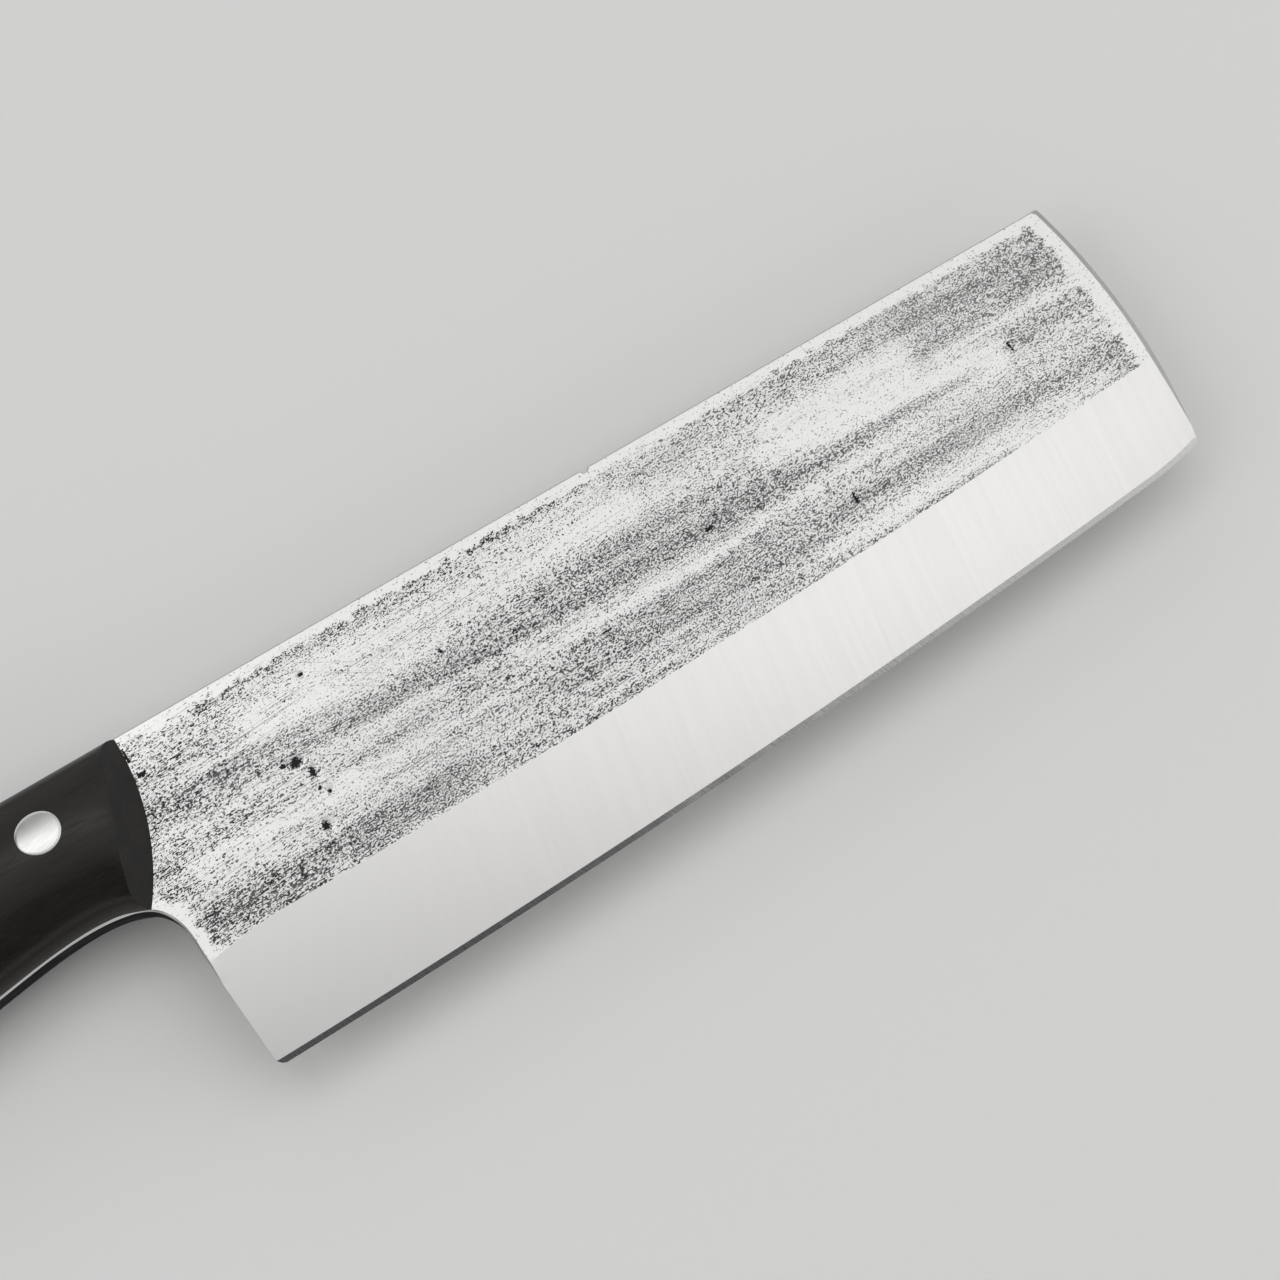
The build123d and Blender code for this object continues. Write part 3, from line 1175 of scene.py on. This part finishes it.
    def rim_edge(self, point: Vector, inward: Vector) -> Vector | None:
        """Where the chamfer that starts at a point of the outline ends.

        Args:
            point: the point of the outline.
            inward: the direction into the blade there.

        Returns:
            The chamfer's inner point, or None where the grinding has taken the chamfer away.
        """
        at_tip = point.x > self.length - self.tip_reach
        low, high = 0.0, self.tip_chamfer[0] if at_tip else self.chamfer
        if self.level(point + inward * self.least_inset, self.least_inset)[1] != Steel.RIM:
            return None
        for _ in range(self.halvings):
            middle = (low + high) / 2
            kept = self.level(point + inward * middle, middle)[1] == Steel.RIM
            low, high = (middle, high) if kept else (low, middle)
        return point + inward * high

    def build(self, origin: Vector) -> bpy.types.Object:
        """Builds and dresses the blade.

        Args:
            origin: the drawing's origin in the shared frame.

        Returns:
            The blade's object.
        """
        outline = Outline(self.outline())
        flat_points, faces = self.drawing(outline).fill(outline)
        shell = self.shell(outline, flat_points, faces)
        finishes = (ForgedSkin(), SatinGrind(), HonedEdge(), PolishedRim(), DarkEdge())
        blade = shell.piece("blade_forged", [finish.material() for finish in finishes], origin, self.crease)
        self.paint(blade.data, outline, origin)
        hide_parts("blade")
        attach(blade, "root")
        return blade

    def drawing(self, outline: Outline) -> Drawing:
        """Draws the lines and points that the blade's mesh is laid over.

        Args:
            outline: the blade's outline.

        Returns:
            The flat drawing.
        """
        drawing = Drawing()
        drawing.draw(outline.points, closed=True)
        self.draw_bevel(drawing)
        self.draw_rim(drawing, outline)
        for hole in self.holes():
            turns = round_turns(self.hole_sides)
            drawing.draw([hole + Vector((cos(a), sin(a))) * self.hole_radius for a in turns], closed=True)
        for dent in DENTS:
            drawing.points.extend(dent.points())
        used = search_tree(drawing.points)
        places = self.lattice()
        held = outline.holds([point for point, _ in places])
        for (point, step), kept in zip(places, held):
            if kept and used.find(point.to_3d())[2] > self.least_step * step:
                drawing.points.append(point)
        return drawing

    def draw_bevel(self, drawing: Drawing) -> None:
        """Draws the bevel's two long lines, clear of the heel and the tip.

        Args:
            drawing: the drawing that they go into.
        """
        count = int((self.length + self.bevel_behind + self.bevel_ahead) / self.line_step)
        xs = [self.line_step * i - self.bevel_behind for i in range(count)]
        centre, radius = self.tip_circle()
        for height in (self.bevel_line, lambda x: self.edge(x) + self.micro_width):
            line = []
            for point in (Vector((x, height(x))) for x in xs):
                heel_x = -self.heel_lean * point.y / self.heel_straight
                past_heel = point.x > heel_x + self.least_inset
                if past_heel and radius - (point - centre).length > self.least_inset:
                    line.append(point)
            drawing.draw(line)

    def draw_rim(self, drawing: Drawing, outline: Outline) -> None:
        """Draws the inner line of the chamfer, in as many runs as the grinding leaves.

        Args:
            drawing: the drawing that it goes into.
            outline: the blade's outline.
        """
        points, run = outline.points, []
        for number, point in enumerate(points):
            way = (points[(number + 1) % outline.count] - points[number - 1]).normalized()
            inner = self.rim_edge(point, Vector((-way.y, way.x)))
            if inner is not None:
                run.append(inner)
            if run and (inner is None or number == outline.count - 1):
                drawing.draw(run)
                run = []

    def holes(self) -> list[Vector]:
        """The middles of the rivets' holes."""
        return [self.grip_point(back, down) for back, down in self.rivet_shares]

    def lattice(self) -> list[tuple[Vector, float]]:
        """Lays points in even triangles over the side view, wider apart in the tang.

        Returns:
            Each point, with the step there.
        """
        places = []
        x = -self.grip_length
        while x < self.length + self.tip_lead + self.tip_bulge:
            step = self.mesh_step if x > self.fine_from else self.tang_steps * self.mesh_step
            shift = step / 2 * (len(places) % 2)
            places += [(Vector((x, shift + step * i)), step) for i in range(int(self.heel_height / step))]
            x += step * sin(pi / 3)
        return places

    def skin_height(self, point: Vector, inset: float, side: int) -> float:
        """Half of the thickness at a point, with the skin's waves and pits.

        Args:
            point: the point of the side view.
            inset: its distance from the outline.
            side: 1 for the near side or -1 for the far side.

        Returns:
            The half thickness.
        """
        height, finish = self.level(point, inset)
        if finish == Steel.SKIN:
            above = max(point.y - self.bevel_line(point.x), 0)
            calm = min(inset / self.calm, 1.0) * min(above / self.calm, 1.0)
            wide, tall = self.wave_size
            wave = 0.5 + 0.5 * noise(Vector((point.x / wide, point.y / tall, self.wave_shift * side)))
            height -= self.wave_depth * calm * wave
        for dent in DENTS:
            height -= dent.depth * max(dent.fullness(point), 0)
        return height

    def shell(self, outline: Outline, flat_points: list[Vector], faces: list[tuple]) -> Shell:
        """Lifts the flat mesh to both sides and closes it round the outline and the holes.

        Args:
            outline: the blade's outline.
            flat_points: the mesh's points.
            faces: its triangles.

        Returns:
            The blade's shell.
        """
        shell = Shell()
        for side in (1, -1):
            for point in flat_points:
                height = self.skin_height(point, outline.inset(point), side)
                shell.points.append(Vector((point.x, point.y, side * height)))
        far = len(flat_points)
        holes = self.holes()
        directed = {}
        for face in faces:
            middle = middle_of(flat_points, face)
            if any((middle - hole).length < self.hole_radius for hole in holes):
                continue
            finish = self.level(middle, outline.inset(middle))[1]
            shell.add([face], finish)
            shell.add([tuple(i + far for i in face[::-1])], finish)
            directed |= dict.fromkeys(zip(face, face[1:] + face[:1]))
        for first, last in directed:
            if (last, first) not in directed:
                wall = (first + far, last + far, last, first)
                # Walls behind the heel get the near-black edge finish, which is painted shade
                shell.add([wall], Steel.EDGE if flat_points[first].x < 0 else Steel.RIM)
        return shell

    def paint(self, mesh: bpy.types.Mesh, outline: Outline, origin: Vector) -> None:
        """Lays on the mesh's points what the forged skin reads: margins, density and pits.

        Args:
            mesh: the blade's mesh.
            outline: the blade's outline.
            origin: the drawing's origin in the shared frame.
        """
        centre, radius = self.tip_circle()
        layers = {"margin": [], "skin": [], "pit": []}
        for vertex in mesh.vertices:
            point = ((vertex.co - origin) * METRE).to_2d()
            margin = outline.inset(point)
            if point.x > self.length / 2:
                margin = min(margin, radius - (point - centre).length - self.tip_margin)
            layers["margin"].append(margin)
            layers["skin"].append(self.density + sum(band.at(point) for band in BANDS))
            layers["pit"].append(max(dent.fullness(point) for dent in DENTS))
        for name, values in layers.items():
            mesh.attributes.new(name, "FLOAT", "POINT").data.foreach_set("value", values)


# The handle


@dataclass
class Scale:
    """One of the two wood scales. Lengths are millimetres."""

    side: int
    blade: Blade
    thickness: float = 17.59
    front_shares: tuple = (-0.075, 0.0, 1.295, 0.87)
    corner_radius: float = 4.2
    crown_radius: float = 24.0
    past_butt: float = 6.0
    front_set: float = 2.7
    front_radius: float = 42.0
    front_drop: float = 2.1
    front_slope: float = 0.66
    head_radius: float = 3.43
    hole_sides: int = 64
    ease: float = 0.25
    crease: float = 0.6
    rows: int = 44
    columns: int = 130
    end_steps: int = 8
    front_before: float = 0.2
    butt_after: float = 0.85
    butt_from: float = 0.8
    halvings: int = 24

    def __post_init__(self) -> None:
        """Lays the wood's three long lines."""
        blade = self.blade
        last = (1 + self.past_butt / blade.grip_length, *blade.grip_shares[-1][1:])
        rows = (self.front_shares, *blade.grip_shares, last)
        bottom = [blade.grip_point(row[0], row[2]) for row in rows]
        self.top_line = Curve([blade.grip_point(row[0], row[1]) for row in rows])
        self.bottom_line = Curve([bottom[0], *blade.choil_points()[1:], *bottom[1:]])
        self.side_line = Curve([(-row[0] * blade.grip_length, row[3] * self.thickness / 2) for row in rows])
        self.reach = (self.front_shares[0], last[0])
        self.butt_line = [point for point in blade.butt() if point.x < -self.butt_from * blade.grip_length]

    def point(self, back: float, share: float) -> Vector:
        """A point of the wood's surface.

        Args:
            back: how far back along the handle, as a share of its length.
            share: how far round from the lower joint to the upper joint, from 0 to 1.

        Returns:
            The point on the near side.
        """
        middle, upward, half_width, reach, radius = self.section(back)
        half_tang = self.blade.thickness / 2
        sweep = asin(reach / (radius - self.corner_radius))
        small = (pi / 2 - sweep) * self.corner_radius
        whole = 2 * (small + sweep * radius)
        place = (share - 0.5) * whole
        sign = 1 if place > 0 else -1
        place = abs(place)
        if place < sweep * radius:
            turn = place / radius
            up, out = radius * sin(turn), half_width - radius + radius * cos(turn)
        else:
            turn = sweep + (place - sweep * radius) / self.corner_radius
            up, out = reach + self.corner_radius * sin(turn), half_tang + self.corner_radius * cos(turn)
        middle = middle + upward * up * sign
        return Vector((middle.x, middle.y, out))

    def section(self, back: float) -> tuple[Vector, Vector, float, float, float]:
        """The wood's oval section.

        Args:
            back: how far back along the handle, as a share of its length.

        Returns:
            Its middle, its upward direction, half its width, half its height up to the corner's
            centre, and the radius of its side.
        """
        along = (back - self.reach[0]) / (self.reach[1] - self.reach[0])
        low, high = self.bottom_line.at(along), self.top_line.at(along)
        half_width = self.side_line.at(along).y
        reach = (high - low).length / 2 - self.blade.chamfer - self.corner_radius
        depth = half_width - self.blade.thickness / 2
        radius = (depth**2 + reach**2 - self.corner_radius**2) / (2 * (depth - self.corner_radius))
        return (low + high) / 2, (high - low).normalized(), half_width, reach, radius

    def skin_level(self, place: Vector) -> float:
        """How far out the wood's side is at a place of the side view.

        Args:
            place: the place.

        Returns:
            The level.
        """
        middle, upward, half_width, _, radius = self.section(-place.x / self.blade.grip_length)
        up = (place - middle.to_2d()).dot(upward.to_2d())
        return half_width - radius + sqrt(radius**2 - up**2)

    def front_x(self, y: float, z: float) -> float:
        """Where the front face is at a height and a level.

        Args:
            y: the height.
            z: the level.

        Returns:
            Its x there.
        """
        centre = Vector((self.front_set - self.front_radius, self.blade.heel_height - self.front_drop))
        radius = self.front_radius - self.front_slope * (z - self.blade.thickness / 2)
        return centre.x + sqrt(max(radius**2 - (y - centre.y) ** 2, 0.0))

    def butt_x(self, y: float, z: float) -> float:
        """Where the butt is at a height and a level.

        Args:
            y: the height.
            z: the level.

        Returns:
            Its x there.
        """
        crown = -self.blade.grip_length + self.crown_radius - sqrt(self.crown_radius**2 - z**2)
        heights = [point.y for point in self.butt_line]
        y = min(max(y, min(heights)), max(heights))
        xs = [
            first.x + (last.x - first.x) * (y - first.y) / (last.y - first.y)
            for first, last in zip(self.butt_line, self.butt_line[1:])
            if (first.y - y) * (last.y - y) <= 0 and first.y != last.y
        ]
        return max(crown, min(xs) + self.blade.chamfer)

    def row_ends(self, share: float) -> tuple[float, float]:
        """Finds where a line along the wood meets the front face and the butt.

        Args:
            share: how far round the wood the line is, from 0 to 1.

        Returns:
            The two shares back.
        """

        def cut(low: float, high: float, place: Callable[[float, float], float]) -> float:
            """Halves a range until it closes on where the line passes an end.

            Args:
                low: the range's share nearest the front.
                high: its share nearest the butt.
                place: gives the end's x from a height and a level.

            Returns:
                The share back.
            """
            for _ in range(self.halvings):
                middle = (low + high) / 2
                point = self.point(middle, share)
                low, high = (middle, high) if point.x > place(point.y, point.z) else (low, middle)
            return (low + high) / 2

        front = cut(self.front_shares[0], self.front_before, self.front_x)
        return front, cut(self.butt_after, self.reach[1], self.butt_x)

    def build(self, origin: Vector, materials: list) -> bpy.types.Object:
        """Builds and dresses the scale.

        Args:
            origin: the drawing's origin in the shared frame.
            materials: the materials by slot.

        Returns:
            The scale's object.
        """
        sides, fronts, butts = [], [], []
        for number in range(self.rows + 1):
            share = number / self.rows
            front, butt = self.row_ends(share)
            shares = [front + (butt - front) * i / self.columns for i in range(self.columns + 1)]
            line = [self.point(back, share) for back in shares]
            fronts.append(self.end_face(line[0], self.front_x))
            butts.append(self.end_face(line[-1], self.butt_x))
            self.ease_edge(fronts[-1], line)
            line.reverse()
            self.ease_edge(butts[-1], line)
            line.reverse()
            sides.append(line)
        shell = Shell()
        for lines, slot, flip in (
            (sides, Wood.SIDE, False),
            (fronts, Wood.FRONT, True),
            (butts, Wood.SIDE, False),
            (self.flat(sides, fronts, butts), Wood.SIDE, True),
        ):
            placed = [[Vector((p.x, p.y, self.side * p.z)) for p in line] for line in lines]
            shell.grid(placed, slot, flip != (self.side < 0))
        name = "near" if self.side > 0 else "far"
        scale = shell.piece(f"scale_{name}_wood", materials, origin, self.crease)
        self.drill(scale, origin)
        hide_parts(f"scale_{name}")
        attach(scale, "root")
        return scale

    def end_face(self, corner: Vector, place: Callable[[float, float], float]) -> list[Vector]:
        """Points across an end of the wood, from the tang out to a corner point.

        Args:
            corner: where the wood's side meets the end.
            place: gives the end's x from a height and a level.

        Returns:
            The points, with the corner point last.
        """
        half_tang = self.blade.thickness / 2
        levels = [half_tang + (corner.z - half_tang) * i / self.end_steps for i in range(self.end_steps)]
        return [Vector((place(corner.y, z), corner.y, z)) for z in levels] + [corner.copy()]

    def ease_edge(self, face: list[Vector], line: list[Vector]) -> None:
        """Rounds the edge where an end face meets a line along the wood, in both lists.

        Args:
            face: the points across the end, the edge's own last.
            line: the points along the wood, the edge's own first.
        """
        corner = line[0].copy()
        inward, onward = face[-2] - corner, line[1] - corner
        reach = min(self.ease, inward.length / 2, onward.length / 2)
        low = corner + inward.normalized() * reach if inward.length else corner.copy()
        high = corner + onward.normalized() * reach
        middle = (low + corner * 2 + high) / 4
        face[-1:] = [low, middle.copy()]
        line[:1] = [middle, high]

    def flat(self, sides: list, fronts: list, butts: list) -> list[list[Vector]]:
        """The inner face against the tang, laid between the lines of the other faces.

        Args:
            sides: the lines along the wood's outside.
            fronts: the lines across the front face.
            butts: the lines across the butt.

        Returns:
            The lines of the flat face.
        """
        low, high, rows = sides[0], sides[-1], []
        for j, (front, butt) in enumerate(zip(fronts, butts)):
            v = j / (len(fronts) - 1)
            row = []
            for i, (under, over) in enumerate(zip(low, high)):
                u = i / (len(low) - 1)
                across = under * (1 - v) + over * v
                along = front[0] * (1 - u) + butt[0] * u
                ends = (low[0] * (1 - v) + high[0] * v) * (1 - u) + (low[-1] * (1 - v) + high[-1] * v) * u
                row.append(across + along - ends)
            rows.append(row)
        return rows

    def drill(self, scale: bpy.types.Object, origin: Vector) -> None:
        """Cuts the rivets' seats out of the wood.

        Args:
            scale: the scale's object.
            origin: the drawing's origin in the shared frame.
        """
        turns = round_turns(self.hole_sides)
        for back, down in self.blade.rivet_shares:
            middle = self.blade.grip_point(back, down)
            drill = Shell()
            reach = self.head_radius
            for level in (0.0, self.side * self.thickness):
                drill.points += [
                    Vector((middle.x + cos(a) * reach, middle.y + sin(a) * reach, level)) for a in turns
                ]
            count = self.hole_sides
            pairs = [(i, (i + 1) % count) for i in range(count)]
            drill.add([(a, b, b + count, a + count) for a, b in pairs], Wood.SIDE)
            drill.add([tuple(range(count)), tuple(range(count, 2 * count))], Wood.SIDE)
            bit = drill.piece("seat_drill", [], origin, self.crease)
            cut = scale.modifiers.new("seat", "BOOLEAN")
            cut.operation, cut.solver, cut.object = "DIFFERENCE", "EXACT", bit
            bpy.context.view_layer.update()
            worked = scale.evaluated_get(bpy.context.evaluated_depsgraph_get())
            drilled = bpy.data.meshes.new_from_object(worked)
            scale.modifiers.clear()
            scale.data = drilled
            bpy.data.objects.remove(bit)
        weld_and_crease(scale.data, self.crease)


@dataclass
class Rivet:
    """A cutler's rivet: a stud, and a socket whose tube its shank fills. Lengths are millimetres."""

    name: str
    place: Vector
    scale: Scale
    head_radius: float = 3.4
    seat_height: float = 2.8
    tube_radius: float = 2.4
    shank_radius: float = 1.5
    end_gap: float = 0.6
    ease: float = 0.05
    ease_share: float = 0.3
    sides: int = 72
    rings: int = 8
    crease: float = 0.6

    def build(self, origin: Vector, material: bpy.types.Material) -> list[bpy.types.Object]:
        """Builds and dresses both halves.

        Args:
            origin: the drawing's origin in the shared frame.
            material: the rivets' metal.

        Returns:
            The stud, whose head is in the near scale, and the socket.
        """
        seat = self.scale.blade.thickness / 2 + self.seat_height
        end = self.end_gap - seat
        shank = [(self.shank_radius, seat), (self.shank_radius, end), (0.0, end)]
        tube = [(self.tube_radius, seat), (self.tube_radius, end), (self.shank_radius, end)]
        tube += [(self.shank_radius, seat), (0.0, seat)]
        pieces = []
        for kind, side, inner in (("stud", 1, shank), ("socket", -1, tube)):
            node = f"rivet_{self.name}_{kind}"
            shell = self.half(side, [(self.head_radius, seat), *inner])
            piece = shell.piece(f"{node}_ground", [material], origin, self.crease)
            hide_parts(node)
            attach(piece, "root")
            pieces.append(piece)
        return pieces

    def half(self, side: int, inner: list[tuple[float, float]]) -> Shell:
        """Builds one half as rings about its axis.

        Args:
            side: 1 for the near scale or -1 for the far scale.
            inner: radius and level of each ring behind the head, seen from the head's side.

        Returns:
            The half's shell.
        """
        flat = self.head_radius - self.ease
        low = self.ease * self.ease_share
        rows = [(flat * number / self.rings, 0.0) for number in range(self.rings + 1)]
        rows += [(self.head_radius - low, low), (self.head_radius, self.ease)]
        rings = [(radius, drop, True) for radius, drop in rows] + [(*ring, False) for ring in inner]
        shell = Shell()
        for radius, depth, ground in rings:
            for turn in round_turns(self.sides):
                place = self.place + Vector((cos(turn), sin(turn))) * radius
                level = self.scale.skin_level(place) - depth if ground else depth
                shell.points.append(Vector((place.x, place.y, side * level)))
        for ring in range(len(rings) - 1):
            for i in range(self.sides):
                a, b = ring * self.sides + i, ring * self.sides + (i + 1) % self.sides
                shell.add([(a, b, b + self.sides, a + self.sides)], 0)
        return shell


# The studio


@dataclass(frozen=True)
class Softbox:
    """A softbox that faces the knife: its middle, its width and height in metres, and its radiance.

    The radiance is how bright its face is, where a sheet of white paper in full light is 1.
    """

    name: str
    place: tuple
    size: tuple
    radiance: float

    def hang(self) -> None:
        """Puts the softbox in the scene."""
        light = bpy.data.lights.new(f"softbox_{self.name}", "AREA")
        light.shape = "RECTANGLE"
        light.size, light.size_y = self.size
        light.energy = self.radiance * pi * self.size[0] * self.size[1]
        lamp = bpy.data.objects.new(light.name, light)
        lamp.location = self.place
        lamp.rotation_euler = Vector(self.place).to_track_quat("Z", "Y").to_euler()
        bpy.context.scene.collection.objects.link(lamp)


SOFTBOXES = (
    Softbox("main", (0.22, 0.42, 1.1), (1.0, 0.55), 0.27),
    Softbox("tip", (0.45, 0.0, 1.1), (0.6, 0.4), 0.23),
    Softbox("handle", (-0.30, 0.60, 1.1), (0.5, 0.42), 0.75),
    Softbox("edge", (0.62, -0.5, 1.0), (0.5, 0.4), 0.55),
    Softbox("left", (-1.4, 0.1, 0.95), (1.6, 1.5), 1.0),
    Softbox("right", (1.5, -0.1, 0.9), (1.6, 1.4), 1.0),
    Softbox("front", (0.0, -1.4, 0.6), (3.2, 0.7), 0.6),
    Softbox("back", (0.0, 1.6, 0.65), (3.2, 0.8), 0.6),
)


@dataclass
class Studio:
    """A pale floor, soft light and the camera. Lengths are metres, and the camera's own millimetres."""

    floor_reach: float = 3.0
    floor_colour: tuple = (0.90, 0.90, 0.89)
    floor_roughness: float = 0.8
    dome_middle: tuple = (0.15, 0.35, 0.92)
    dome_bright: float = 0.73
    dome_dark: float = 0.2
    dome_fall: tuple = (0.8, 0.93)
    lens: float = 67.5
    sensor: float = 36.0
    nearest: float = 0.01
    camera_place: tuple = (-0.009272, -0.109112, 0.343340)
    right: tuple = (0.8482559, -0.5291147, -0.0223494)
    up: tuple = (0.5030993, 0.7919331, 0.3460246)
    back: tuple = (-0.1653875, -0.3047614, 0.9379592)

    def build(self) -> None:
        """Builds the floor, the lights and the camera."""
        self.floor()
        bpy.context.scene.world = self.dome()
        for softbox in SOFTBOXES:
            softbox.hang()
        self.camera()
        bpy.context.scene.view_settings.view_transform = "Standard"

    def floor(self) -> None:
        """Lays the floor."""
        reach = self.floor_reach
        mesh = bpy.data.meshes.new("floor")
        corners = [(-reach, -reach, 0), (reach, -reach, 0), (reach, reach, 0), (-reach, reach, 0)]
        mesh.from_pydata(corners, [], [(0, 1, 2, 3)])
        paint = Nodes("floor").set(Base_Color=self.floor_colour, Roughness=self.floor_roughness)
        mesh.materials.append(paint)
        floor = bpy.data.objects.new("floor", mesh)
        bpy.context.scene.collection.objects.link(floor)

    def camera(self) -> None:
        """Sets the camera up where the photo was taken."""
        camera = bpy.data.cameras.new("camera")
        camera.lens = self.lens
        camera.sensor_width = self.sensor
        camera.clip_start = self.nearest
        seen = bpy.data.objects.new("camera", camera)
        turn = Matrix((self.right, self.up, self.back)).transposed().to_4x4()
        seen.matrix_world = Matrix.Translation(self.camera_place) @ turn
        bpy.context.scene.collection.objects.link(seen)
        bpy.context.scene.camera = seen

    def dome(self) -> bpy.types.World:
        """Makes the pale dome over the table.

        Returns:
            The world, brightest overhead and darker towards its foot.
        """
        world = bpy.data.worlds.new("studio")
        tree = Tree(world)
        middle = Vector(self.dome_middle).normalized()
        ways = {0: tree.add("TexCoord", {}, "Generated"), 1: middle}
        facing = tree.add("VectorMath", ways, "Value", operation="DOT_PRODUCT")
        background = world.node_tree.nodes["Background"]
        strength = tree.blend(facing, *self.dome_fall, self.dome_dark, self.dome_bright)
        tree.put(background.inputs["Color"], (1.0, 1.0, 1.0))
        tree.put(background.inputs["Strength"], strength)
        return world


def main() -> None:
    """Builds the knife and the studio in order."""
    logging.basicConfig(level=logging.INFO, format="%(name)s: %(message)s")
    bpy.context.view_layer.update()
    low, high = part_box("blade")
    blade = Blade()
    origin = Vector((
        low[0] + blade.grip_length / METRE,
        high[1] - blade.heel_height / METRE - HAIR,
        (low[2] + high[2]) / 2,
    ))
    piece = blade.build(origin)
    log.info("blade: %d points, %d faces", len(piece.data.vertices), len(piece.data.polygons))
    woods = [DarkWood().material(), EndGrain().material()]
    for side in (1, -1):
        scale = Scale(side, blade)
        piece = scale.build(origin, woods)
        log.info("%s: %d points", piece.name, len(piece.data.vertices))
    metal = RivetMetal().material()
    for name, (back, down) in zip(("front", "middle", "rear"), blade.rivet_shares):
        for piece in Rivet(name, blade.grip_point(back, down), scale).build(origin, metal):
            log.info("%s: %d points", piece.name, len(piece.data.vertices))
    Studio().build()


if __name__ == "__main__":
    main()
